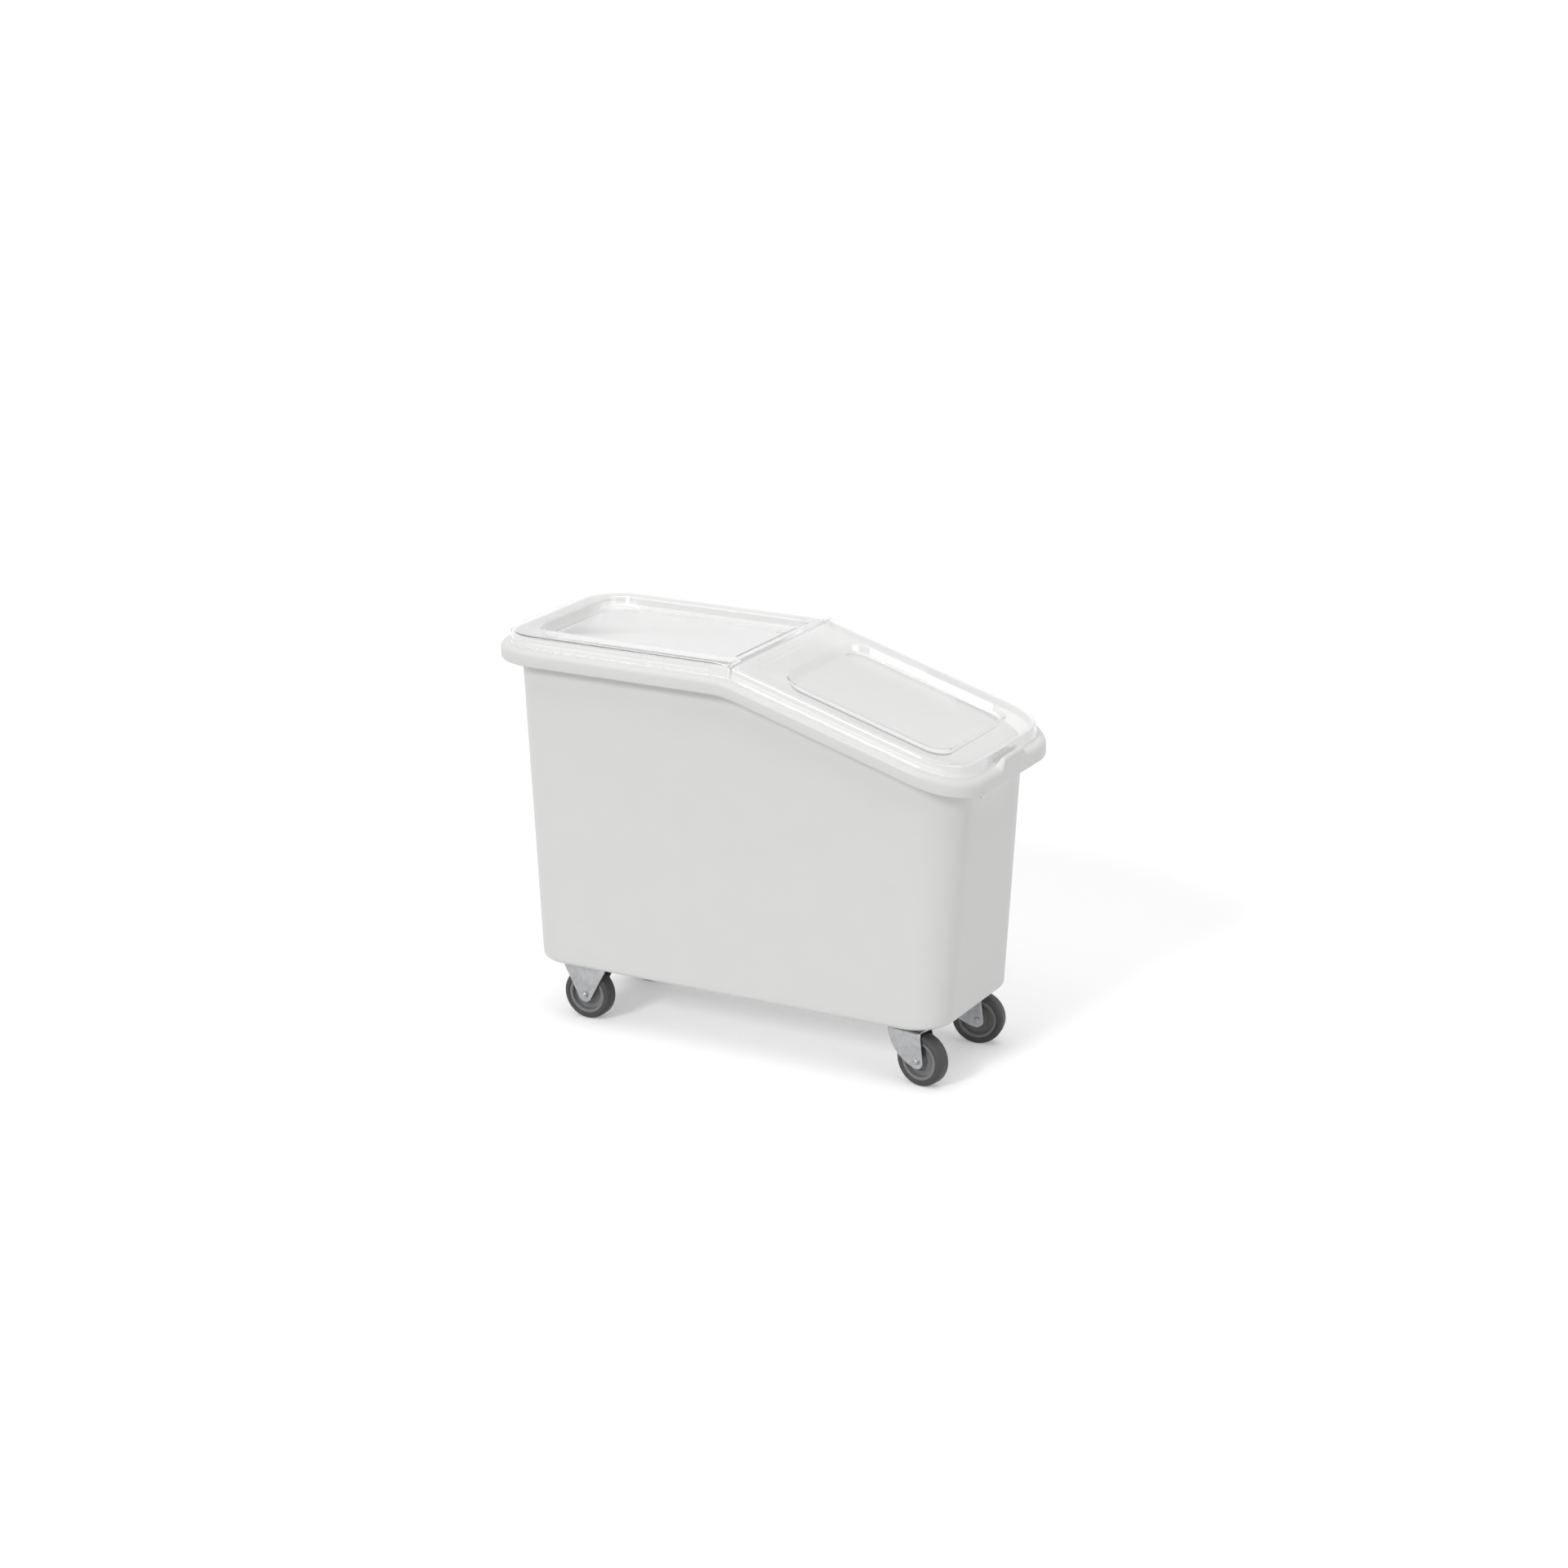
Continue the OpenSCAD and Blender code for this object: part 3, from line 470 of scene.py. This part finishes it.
def lid_loop(bm, facing, shape, inset, ridge_inset, height):
    """A loop inside a lid's outline. The ridge is the front end of the rear lid, which faces 1, and
    the rear end of the front lid, which faces -1."""
    front, rear, half_width, front_r, rear_r = shape
    front_in, rear_in = (ridge_inset, inset) if facing > 0 else (inset, ridge_inset)
    loop = outline(bm, front - front_in, rear + rear_in, half_width - inset,
                   max(front_r - front_in, least_r), max(rear_r - rear_in, least_r))
    for v in points(loop):
        v.co.z = height(v.co)
    return loop


def lid(facing, edge, panel, ridge_middle):
    """A lid from the underside of its panel, round the skirt, to the top of its panel."""
    bm = bmesh.new()
    half_width = edge[2]
    side = skirt(skirt_d, False)
    ridge = skirt(ridge_d, True)
    ridge_end = hinge_x - facing * (ridge_gap + ridge_r)

    def skirt_height(co, k):
        in_corner = abs(co.y) > half_width - ridge_corner_share * ridge_r
        on_ridge = facing * (co.x - ridge_end) > tiny and not in_corner
        section = skirt(ridge_depth(facing, abs(co.y)), True) if on_ridge else side
        return lid_at(co.x) - section[k][1]

    def panel_loop(inset, drop):
        return lid_loop(bm, facing, panel, inset, inset, lambda co: panel_at(co.x) - drop)

    def border_loop(drop):
        return lid_loop(bm, facing, edge, border / 3, ridge_middle, lambda co: lid_at(co.x) - drop)

    loops = [panel_loop(*point) for point in panel_under] + [border_loop(lid_t)]
    for k in range(len(side)):
        loops.append(lid_loop(bm, facing, edge, side[k][0], ridge[k][0], lambda co: skirt_height(co, k)))
    loops += [border_loop(0)] + [panel_loop(*point) for point in panel_top]
    loft(bm, loops)
    return bm


along_y = Matrix.Rotation(math.radians(90), 4, "X")


def rod(bm, radius, length, place, segments=32):
    """Adds a round rod, that lies along Z before it is placed, and gives back its vertices."""
    return bmesh.ops.create_cone(bm, cap_ends=True, segments=segments, radius1=radius, radius2=radius,
                                 depth=length, matrix=place)["verts"]


def rods(radius, start, length):
    """A rod at each end of the hinge line, that begins a distance inside the pins' outer ends."""
    bm = bmesh.new()
    for end in (-1, 1):
        middle = Vector((hinge_x, end * (pin_end - start - length / 2), hinge_z))
        rod(bm, radius, length, Matrix.Translation(middle) @ along_y)
    return bm


def combine(bm, other, operation):
    """Adds one solid to another or cuts it away, and gives back what results."""
    pair = []
    for shape in (bm, other):
        mesh = bpy.data.meshes.new("solid")
        shape.to_mesh(mesh)
        shape.free()
        pair.append(bpy.data.objects.new("solid", mesh))
        scene.collection.objects.link(pair[-1])
    boolean = pair[0].modifiers.new("combine", "BOOLEAN")
    boolean.object, boolean.operation, boolean.solver = pair[1], operation, "EXACT"
    result = bmesh.new()
    result.from_object(pair[0], bpy.context.evaluated_depsgraph_get())
    for solid in pair:
        bpy.data.meshes.remove(solid.data)
    return result


# Clear polycarbonate, moulded: glossy and clear, with a faint ripple, fine rubbing marks and edges that
# look grey along the sheet. The IOR is low, so that a plate shows no dark lines of trapped light, and the
# coat gives the shine of both its faces. Light from the lamps and from dull surfaces passes straight on.
polycarbonate, tree = new_material("clear_polycarbonate")
place = add(tree, "TexCoord")["Object"]
rubbing = add(tree, "TexNoise", {"Vector": place, "Scale": 1 / 0.03, "Detail": 6})
ripple = add(tree, "TexNoise", {"Vector": place, "Scale": 1 / 0.05, "Detail": 1})
gloss = add(tree, "MapRange", {"Value": rubbing["Fac"], "To Min": 0.02, "To Max": 0.08})
relief = add(tree, "Bump", {"Height": ripple["Fac"], "Strength": 0.05, "Distance": 0.001})
facing = add(tree, "LayerWeight", {"Blend": 0.5})["Facing"]
glancing = add(tree, "Math", {0: facing, 1: 9}, operation="POWER")
tint = add(tree, "Mix", {0: glancing[0], 6: linear("#FFFFFF"), 7: linear("#808282")}, data_type="RGBA")
glass = add(tree, "BsdfPrincipled", {"Base Color": tint[2], "Roughness": gloss[0], "Normal": relief[0],
                                     "IOR": 1.06, "Transmission Weight": 0.97, "Coat Weight": 1,
                                     "Coat IOR": 2, "Coat Roughness": 0.08, "Coat Normal": relief[0]})
clear = add(tree, "BsdfTransparent", {"Color": linear("#FFFFFF")})
path = add(tree, "LightPath")
lit = add(tree, "MixShader", {0: path["Is Shadow Ray"], 1: glass[0], 2: clear[0]})
passed = add(tree, "MixShader", {0: path["Is Diffuse Ray"], 1: lit[0], 2: clear[0]})
add(tree, "OutputMaterial", {"Surface": passed[0]})

front_knuckle = knuckle_len + knuckle_gap
room = {"radius": knuckle_r + knuckle_gap, "length": knuckle_len + 1.5 * knuckle_gap}
bore = {"radius": pin_r + pin_play, "start": -knuckle_gap, "length": pin_len + 2 * knuckle_gap}

# Rear lid: level, with a clear ear and its boss outside the skirt at both ends of the ridge. It sits on the
# upstand and lifts off.
rear_panel_front = 1.5
rear_panel_r = 12
rear_middle = 9
bm = lid(1, (hinge_x - ridge_gap, -lid_end, lid_hw, ridge_r, lid_r),
         (rear_panel_front, border - lid_end, lid_hw - border, rear_panel_r, panel_r), rear_middle)
bm = combine(bm, rods(knuckle_r, 0, knuckle_len), "UNION")
bm = combine(bm, rods(start=front_knuckle - knuckle_gap / 2, **room), "DIFFERENCE")
ear_hl = 15
ear_hh = 6.5
ear_t = 2.4
ear_r = 5
ear_edge = 0.7
ear_back = 19
ear_drop = 9.5
ear_x = hinge_x - ear_back
ear_z = lid_at(ear_x) - ear_drop
boss_r = 3.6
boss_out = 1
for end in (-1, 1):
    middle = Vector((ear_x, end * lid_hw, ear_z))
    ear = bmesh.new()
    bmesh.ops.create_cube(ear, size=2)
    bmesh.ops.scale(ear, vec=(ear_hl, ear_t, ear_hh), verts=ear.verts)
    corners = [e for e in ear.edges if abs(e.verts[0].co.y - e.verts[1].co.y) > tiny]
    bmesh.ops.bevel(ear, geom=corners, offset=ear_r, segments=6, profile=0.5, affect="EDGES", material=-1)
    outer = [e for e in ear.edges if end * (e.verts[0].co.y + e.verts[1].co.y) > 2 * ear_t - tiny]
    bmesh.ops.bevel(ear, geom=outer, offset=ear_edge, segments=3, profile=0.5, affect="EDGES",
                    material=-1)
    bmesh.ops.translate(ear, vec=middle, verts=ear.verts)
    bm = combine(bm, ear, "UNION")
    boss = bmesh.new()
    boss_middle = middle + Vector((ear_hh - ear_hl, 0, 0))
    rod(boss, boss_r, 2 * (ear_t + boss_out), Matrix.Translation(boss_middle) @ along_y)
    bm = combine(bm, boss, "UNION")
bm = combine(bm, rods(**bore), "DIFFERENCE")
finish("clear_rear_lid", bm, polycarbonate, "rear_lid", ["rear_lid"])

# Front lid: on the slope, with a notch in its front skirt behind the tub's finger lip. It swings on the
# pins, back over the rear lid.
front_panel_rear = 73.5
front_middle = 16
notch_hw = 38
notch_top = 10
notch_depth = 30
notch_corner_share = 0.1
bm = lid(-1, (lid_end, hinge_x + ridge_gap, lid_hw, lid_r, ridge_r),
         (lid_end - border, front_panel_rear, lid_hw - border, panel_r, panel_r), front_middle)
bm = combine(bm, rods(knuckle_r, front_knuckle, knuckle_len), "UNION")
bm = combine(bm, rods(start=-knuckle_gap, **room), "DIFFERENCE")
notch = bmesh.new()
bmesh.ops.create_cube(notch, size=2)
corners = [e for e in notch.edges if abs(e.verts[0].co.x - e.verts[1].co.x) > tiny]
bmesh.ops.bevel(notch, geom=corners, offset=notch_corner_share, segments=4, profile=0.5, affect="EDGES",
                material=-1)
bmesh.ops.scale(notch, vec=(notch_depth, notch_hw, notch_top), verts=notch.verts)
bmesh.ops.translate(notch, vec=(lid_end, 0, rim_at(lid_end) + bead_h), verts=notch.verts)
bm = combine(bm, notch, "DIFFERENCE")
bm = combine(bm, rods(**bore), "DIFFERENCE")
finish("clear_front_lid", bm, polycarbonate, "front_lid", ["front_lid"])

# Wheels: a grey polypropylene core, with a hub, a web and a ring, and a dark rubber tyre moulded round
# it. Each is one section turned about the axle.
tyre_bore = 28
tyre_r = 37.5
tyre_hw = 12
tread_r = 6
tyre_edge_r = 0.5
bead_step = 1.5
core_bore = 5.05
hub_r = 10
hub_hl = 13
hub_edge_r = 0.8
web_hw = 3
web_rise = 1
web_fillet = 1
ridge_in = 14.5
ridge_out = 17.5
ridge_hw = 4.2
ridge_slant = 0.5
ring_r = 24
ring_hw = 10.5
ring_edge_r = 0.6
fine_r = 0.4
turn_steps = 96
front_yaw = math.radians(10)
sides = {"right": -1, "left": 1}
casters = [(end + "_" + name, end, side) for end in ("rear", "front") for name, side in sides.items()]


def middle_of(node):
    """Middle of a CAD node, in millimetres."""
    low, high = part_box(node)
    return (low + high) * 500


def caster_place(name, end, side, node):
    """Place of a caster piece: a turn for the swivel casters, and the middle of a node that it shares."""
    turn = Matrix.Rotation(side * front_yaw if end == "front" else 0, 4, "Z")
    return Matrix.Translation(middle_of(name + node)) @ turn


def turned(corners):
    """A ring about the Y axis, from the corners of its section as radius, Y and rounding."""
    bm = bmesh.new()
    bm.faces.new([bm.verts.new((r, y, 0)) for r, y, rounding in corners])
    for v, (r, y, rounding) in zip(bm.verts[:], corners):
        if rounding:
            bmesh.ops.bevel(bm, geom=[v], offset=rounding, segments=6, profile=0.5, affect="VERTICES",
                            material=-1)
    bmesh.ops.delete(bm, geom=bm.faces[:], context="FACES_ONLY")
    bmesh.ops.spin(bm, geom=bm.verts[:] + bm.edges[:], cent=(0, 0, 0), axis=(0, 1, 0), angle=2 * math.pi,
                   steps=turn_steps, use_merge=True)
    bmesh.ops.recalc_face_normals(bm, faces=bm.faces)
    return bm


def both_sides(half):
    """A section from its half on the +Y side, and the mirror image of that."""
    return half + [(r, -y, rounding) for r, y, rounding in reversed(half)]


# Dark grey rubber: dull, with a fine grain and a little dust that lightens it in patches
rubber, tree = new_material("dark_grey_rubber")
place = add(tree, "TexCoord")["Object"]
dust = add(tree, "TexNoise", {"Vector": place, "Scale": 1 / 0.012, "Detail": 4})
grain = add(tree, "TexNoise", {"Vector": place, "Scale": 1 / 0.0008, "Detail": 2})
tint = add(tree, "Mix", {0: dust["Fac"], 6: linear("#404040"), 7: linear("#545453")}, data_type="RGBA")
gloss = add(tree, "MapRange", {"Value": dust["Fac"], "To Min": 0.5, "To Max": 0.72})
relief = add(tree, "Bump", {"Height": grain["Fac"], "Strength": 0.25, "Distance": 0.0002})
shader = add(tree, "BsdfPrincipled", {"Base Color": tint[2], "Roughness": gloss[0], "Normal": relief[0]})
add(tree, "OutputMaterial", {"Surface": shader[0]})

# Grey polypropylene of the wheel cores: satin, with the grain of its mould
grey_plastic, tree = new_material("grey_polypropylene")
place = add(tree, "TexCoord")["Object"]
cloud = add(tree, "TexNoise", {"Vector": place, "Scale": 1 / 0.01, "Detail": 3})
grain = add(tree, "TexNoise", {"Vector": place, "Scale": 1 / 0.0006, "Detail": 2})
tint = add(tree, "Mix", {0: cloud["Fac"], 6: linear("#868686"), 7: linear("#929291")}, data_type="RGBA")
gloss = add(tree, "MapRange", {"Value": cloud["Fac"], "To Min": 0.38, "To Max": 0.5})
relief = add(tree, "Bump", {"Height": grain["Fac"], "Strength": 0.1, "Distance": 0.0002})
shader = add(tree, "BsdfPrincipled", {"Base Color": tint[2], "Roughness": gloss[0], "Normal": relief[0]})
add(tree, "OutputMaterial", {"Surface": shader[0]})

tyre_section = [(tyre_bore, tyre_hw - bead_step, 0), (tyre_bore + bead_step, tyre_hw, tyre_edge_r),
                (tyre_r, tyre_hw, tread_r)]
core_section = [(core_bore, hub_hl, fine_r), (hub_r, hub_hl, hub_edge_r),
                (hub_r + web_rise, web_hw, web_fillet), (ridge_in, web_hw, fine_r),
                (ridge_in + ridge_slant, ridge_hw, fine_r), (ridge_out - ridge_slant, ridge_hw, fine_r),
                (ridge_out, web_hw, fine_r), (ring_r - web_rise, web_hw, web_fillet),
                (ring_r, ring_hw, ring_edge_r), (tyre_bore, ring_hw, 0)]
for name, end, side in casters:
    wheel = name + "_wheel"
    place = caster_place(name, end, side, "_tyre")
    bm = turned(both_sides(tyre_section))
    bmesh.ops.transform(bm, matrix=place, verts=bm.verts)
    finish(name + "_rubber_tyre", bm, rubber, wheel, [name + "_tyre"])
    bm = turned(both_sides(core_section))
    bmesh.ops.transform(bm, matrix=place, verts=bm.verts)
    finish(name + "_moulded_core", bm, grey_plastic, wheel, [name + "_wheel_core"])

# Forks: zinc plated sheet. A rigid fork is a plate with two tapering cheeks, and a swivel fork is one
# strip bent over its crown, with cheeks that narrow in a curve to the axle. Both hang from the tub's floor.
sheet = 2
fork_out = 15.5
axle_z = 37.5
tip_r = 10.5
pressed_edge = 0.4

# Rigid fork: its plate and the half width of its cheeks at the tub's foot
plate_z = base_z + recess_d
plate_t = 3
plate_hl = 46
plate_hw = 16
plate_r = 8
cheek_hw = 40
tip_steps = 20

# Swivel fork: its crown, the axle's distance behind the kingpin, and the curve of the cheek's back edge
crown_z = 80.5
crown_front = 32
crown_back = -23
crown_bend = 5
crown_hole_r = 4.8
trail = 27
tip_turn = math.radians(-105)
back_pull = 42
strip_cuts = 9
cheek_rows = 24


def press_edges(bm):
    """Rounds the cut edges of a sheet slightly."""
    edges = [e for e in bm.edges if e.is_manifold and e.calc_face_angle() > 1]
    bmesh.ops.bevel(bm, geom=edges, offset=pressed_edge, segments=2, profile=0.5, affect="EDGES",
                    material=-1, clamp_overlap=True)


def thicken(bm, face, depth):
    """Draws a flat face out into a slab."""
    drawn = bmesh.ops.extrude_face_region(bm, geom=[face])["geom"]
    bmesh.ops.translate(bm, vec=depth, verts=[v for v in drawn if isinstance(v, bmesh.types.BMVert)])
    bmesh.ops.recalc_face_normals(bm, faces=bm.faces)


def rigid_fork():
    """A plate and two cheeks, with the axle's middle on the Z axis."""
    bm = bmesh.new()
    corners = bmesh.ops.create_grid(bm, x_segments=1, y_segments=1, size=1)["verts"]
    bmesh.ops.scale(bm, vec=(plate_hl, plate_hw, 1), verts=corners)
    bmesh.ops.translate(bm, vec=(0, 0, plate_z - plate_t), verts=corners)
    bmesh.ops.bevel(bm, geom=corners, offset=plate_r, segments=8, profile=0.5, affect="VERTICES",
                    material=-1)
    thicken(bm, bm.faces[:][0], (0, 0, plate_t))
    rise = Vector((cheek_hw, base_z - axle_z))
    touch = math.atan2(rise.y, rise.x) - math.acos(tip_r / rise.length)
    start = tip_r * Vector((math.cos(touch), math.sin(touch)))
    top = plate_z - plate_t - axle_z
    top_hw = start.x + (rise.x - start.x) * (top - start.y) / (rise.y - start.y)
    cheek = bmesh.new()
    first = cheek.verts.new((start.x, fork_out, axle_z + start.y))
    bmesh.ops.spin(cheek, geom=[first], cent=(0, 0, axle_z), axis=(0, 1, 0), angle=math.pi + 2 * touch,
                   steps=tip_steps)
    cheek.verts.ensure_lookup_table()
    row = sorted(cheek.verts, key=lambda v: -v.co.x)
    row += [cheek.verts.new((x, fork_out, axle_z + top)) for x in (-top_hw, top_hw)]
    thicken(cheek, cheek.faces.new(row), (0, -sheet, 0))
    whole = cheek.verts[:] + cheek.edges[:] + cheek.faces[:]
    bmesh.ops.mirror(cheek, geom=whole, axis="Y", merge_dist=-1)
    mesh = bpy.data.meshes.new("cheeks")
    cheek.to_mesh(mesh)
    cheek.free()
    bm.from_mesh(mesh)
    bpy.data.meshes.remove(mesh)
    bmesh.ops.recalc_face_normals(bm, faces=bm.faces)
    press_edges(bm)
    return bm


def swivel_fork():
    """A strip bent over the crown, with its kingpin on the Z axis. Its rows run from the middle of the
    crown, over the bend and down the cheek, and the cheek's two edges end in the tip's circle."""
    front = Vector((crown_front - trail, crown_z - axle_z))
    back = Vector((crown_back - trail, crown_z - axle_z))
    tip = tip_r * Vector((math.cos(tip_turn), math.sin(tip_turn)))
    pull = tip + back_pull * Vector((math.sin(tip_turn), -math.cos(tip_turn)))
    touch_turn = math.atan2(front.y, front.x) - math.acos(tip_r / front.length)
    touch = tip_r * Vector((math.cos(touch_turn), math.sin(touch_turn)))

    def edges_at(z):
        """X of the cheek's back and front edges at a height over the axle."""
        circle = math.sqrt(max(tip_r ** 2 - z ** 2, 0))
        front_x = circle
        if z > touch.y:
            front_x = touch.x + (front.x - touch.x) * (z - touch.y) / (front.y - touch.y)
        if z < tip.y:
            return -circle, front_x
        a, b, c = back.y - 2 * pull.y + tip.y, 2 * (pull.y - back.y), back.y - z
        t = (-b - math.sqrt(b * b - 4 * a * c)) / (2 * a)
        return back.lerp(pull, t).lerp(pull.lerp(tip, t), t).x, front_x

    bend_y, bend_z = fork_out - crown_bend, crown_z - crown_bend
    path = [(0, crown_z)]
    path += [(bend_y + crown_bend * sin, bend_z + crown_bend * cos) for sin, cos in arc(6)]
    low_z = axle_z - tip_r
    for i in range(1, cheek_rows + 1):
        path.append((fork_out, low_z + (bend_z - low_z) * (1 - i / cheek_rows) ** 2))
    bm = bmesh.new()
    edge = bm.edges.new([bm.verts.new((x, 0, 0)) for x in (0, 1)])
    bmesh.ops.subdivide_edges(bm, edges=[edge], cuts=strip_cuts)
    row, chain = sorted(bm.verts, key=lambda v: v.co.x), bm.edges[:]
    shares = [v.co.x for v in row]
    for i, (y, z) in enumerate(path):
        if i:
            drawn = bmesh.ops.extrude_edge_only(bm, edges=chain)["geom"]
            row = sorted((v for v in drawn if isinstance(v, bmesh.types.BMVert)), key=lambda v: v.co.x)
            chain = [e for e in drawn if isinstance(e, bmesh.types.BMEdge)]
            chain = [e for e in chain if all(v in row for v in e.verts)]
        back_x, front_x = edges_at(z - axle_z)
        for v, share in zip(row, shares):
            v.co = (trail + back_x + (front_x - back_x) * share, y, z)
    bmesh.ops.remove_doubles(bm, verts=bm.verts, dist=tiny)
    whole = bm.verts[:] + bm.edges[:] + bm.faces[:]
    bmesh.ops.mirror(bm, geom=whole, axis="Y", merge_dist=tiny)
    bmesh.ops.recalc_face_normals(bm, faces=bm.faces)
    if max(bm.faces, key=lambda f: f.calc_center_median().z).normal.z < 0:
        bmesh.ops.reverse_faces(bm, faces=bm.faces)
    bmesh.ops.solidify(bm, geom=bm.faces[:], thickness=sheet)
    bmesh.ops.recalc_face_normals(bm, faces=bm.faces)
    press_edges(bm)
    hole = bmesh.new()
    rod(hole, crown_hole_r, 4 * sheet, Matrix.Translation((0, 0, crown_z)), segments=48)
    return combine(bm, hole, "DIFFERENCE")


# Zinc plated steel, rolled: a bright grey metal, cloudy from the plating bath, with marks of rolling that
# catch the light. They are drawn 25 mm long and 1.7 mm wide, coarser than they are, so that they show.
zinc, tree = new_material("zinc_plated_steel")
place = add(tree, "TexCoord")["Object"]
cloud = add(tree, "TexNoise", {"Vector": place, "Scale": 1 / 0.008, "Detail": 5})
stretch = add(tree, "Mapping", {"Vector": place, "Scale": (40, 600, 600)})
rolling = add(tree, "TexNoise", {"Vector": stretch[0], "Scale": 1, "Detail": 2})
tint = add(tree, "Mix", {0: cloud["Fac"], 6: linear("#8C8E90"), 7: linear("#C0C1C2")}, data_type="RGBA")
gloss = add(tree, "MapRange", {"Value": rolling["Fac"], "To Min": 0.28, "To Max": 0.46})
relief = add(tree, "Bump", {"Height": rolling["Fac"], "Strength": 0.12, "Distance": 0.0002})
shader = add(tree, "BsdfPrincipled", {"Base Color": tint[2], "Metallic": 1, "Roughness": gloss[0],
                                      "Normal": relief[0]})
add(tree, "OutputMaterial", {"Surface": shader[0]})

for name, end, side in casters:
    bm = rigid_fork() if end == "rear" else swivel_fork()
    place = caster_place(name, end, side, "_tyre" if end == "rear" else "_kingpin")
    place.translation.z = 0
    bmesh.ops.transform(bm, matrix=place, verts=bm.verts)
    body = "tub" if end == "rear" else name + "_swivel"
    finish(name + "_pressed_fork", bm, zinc, body, [name + "_fork"])

# Axle bolts and nuts: M5 steel, zinc plated, with chamfered hexagons and a collar on each. The bolt runs
# through both cheeks and the wheel's sleeve, and the lock nut clamps them.
hex_r = 4.62
head_t = 3.5
nut_t = 4
bolt_r = 2.5
bolt_end = 1
chamfer = 0.5
collar = 0.7


def hexagon(bm, start, height, facing):
    """A hexagon along Y with a chamfered outer face and a collar on that."""
    across = Matrix.Rotation(math.radians(-90 * facing), 4, "X")
    middle = Matrix.Translation((0, facing * (start + (height - collar) / 2), 0))
    made = bmesh.ops.create_cone(bm, cap_ends=True, segments=6, radius1=hex_r, radius2=hex_r,
                                 depth=height - collar, matrix=middle @ across)["verts"]
    outer = max({f for v in made for f in v.link_faces}, key=lambda f: facing * f.calc_center_median().y)
    for inset, rise in ((chamfer, chamfer / 2), (chamfer, collar - chamfer / 2), (chamfer, 0)):
        bmesh.ops.inset_region(bm, faces=[outer], thickness=inset)
        bmesh.ops.translate(bm, vec=(0, facing * rise, 0), verts=outer.verts)


for name, end, side in casters:
    body = "tub" if end == "rear" else name + "_swivel"
    place = caster_place(name, end, side, "_tyre")
    bm = bmesh.new()
    hexagon(bm, fork_out, nut_t, side)
    bmesh.ops.transform(bm, matrix=place, verts=bm.verts)
    finish(name + "_lock_nut", bm, zinc, body, [name + "_axle_nut"])
    bm = bmesh.new()
    hexagon(bm, fork_out, head_t, -side)
    shank_middle = Vector((0, side * (nut_t + bolt_end) / 2, 0))
    shank = rod(bm, bolt_r, 2 * fork_out + nut_t + bolt_end, Matrix.Translation(shank_middle) @ along_y)
    ends = [f for f in {f for v in shank for f in v.link_faces} if len(f.verts) > 4]
    bmesh.ops.bevel(bm, geom=[e for f in ends for e in f.edges], offset=chamfer, segments=1, profile=0.5,
                    affect="EDGES", material=-1)
    bmesh.ops.transform(bm, matrix=place, verts=bm.verts)
    finish(name + "_hex_bolt", bm, zinc, body, [name + "_axle_bolt"])

# Stainless steel of the hinge pins: drawn wire, bright, with fine lines along it, 17 mm long and 0.3 mm
# wide, that streak its shine
stainless, tree = new_material("stainless_steel")
place = add(tree, "TexCoord")["Object"]
stretch = add(tree, "Mapping", {"Vector": place, "Scale": (3000, 60, 3000)})
drawn = add(tree, "TexNoise", {"Vector": stretch[0], "Scale": 1, "Detail": 2})
tint = add(tree, "Mix", {0: drawn["Fac"], 6: linear("#DADBDB"), 7: linear("#EFEFEE")}, data_type="RGBA")
gloss = add(tree, "MapRange", {"Value": drawn["Fac"], "To Min": 0.16, "To Max": 0.3})
shader = add(tree, "BsdfPrincipled", {"Base Color": tint[2], "Metallic": 1, "Roughness": gloss[0]})
add(tree, "OutputMaterial", {"Surface": shader[0]})

# Pieces shown as the CAD has them: sleeves, caster plates, races, balls, kingpins and the fixings through
# the floor, zinc plated like the forks, the stainless hinge pins, and rubber washers under the bolt heads.
surfaces = {"caster_washers": rubber, "right_hinge_pin": stainless, "left_hinge_pin": stainless}
shown = ["right_hinge_pin", "left_hinge_pin", "caster_bolts", "caster_nuts", "caster_washers"]
for name, end, side in casters:
    shown.append(name + "_axle_sleeve")
    if end == "front":
        shown += [name + part for part in ("_plate", "_race", "_balls", "_kingpin")]
for node in shown:
    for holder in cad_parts[node].material_slots:
        holder.material = surfaces.get(node, zinc)
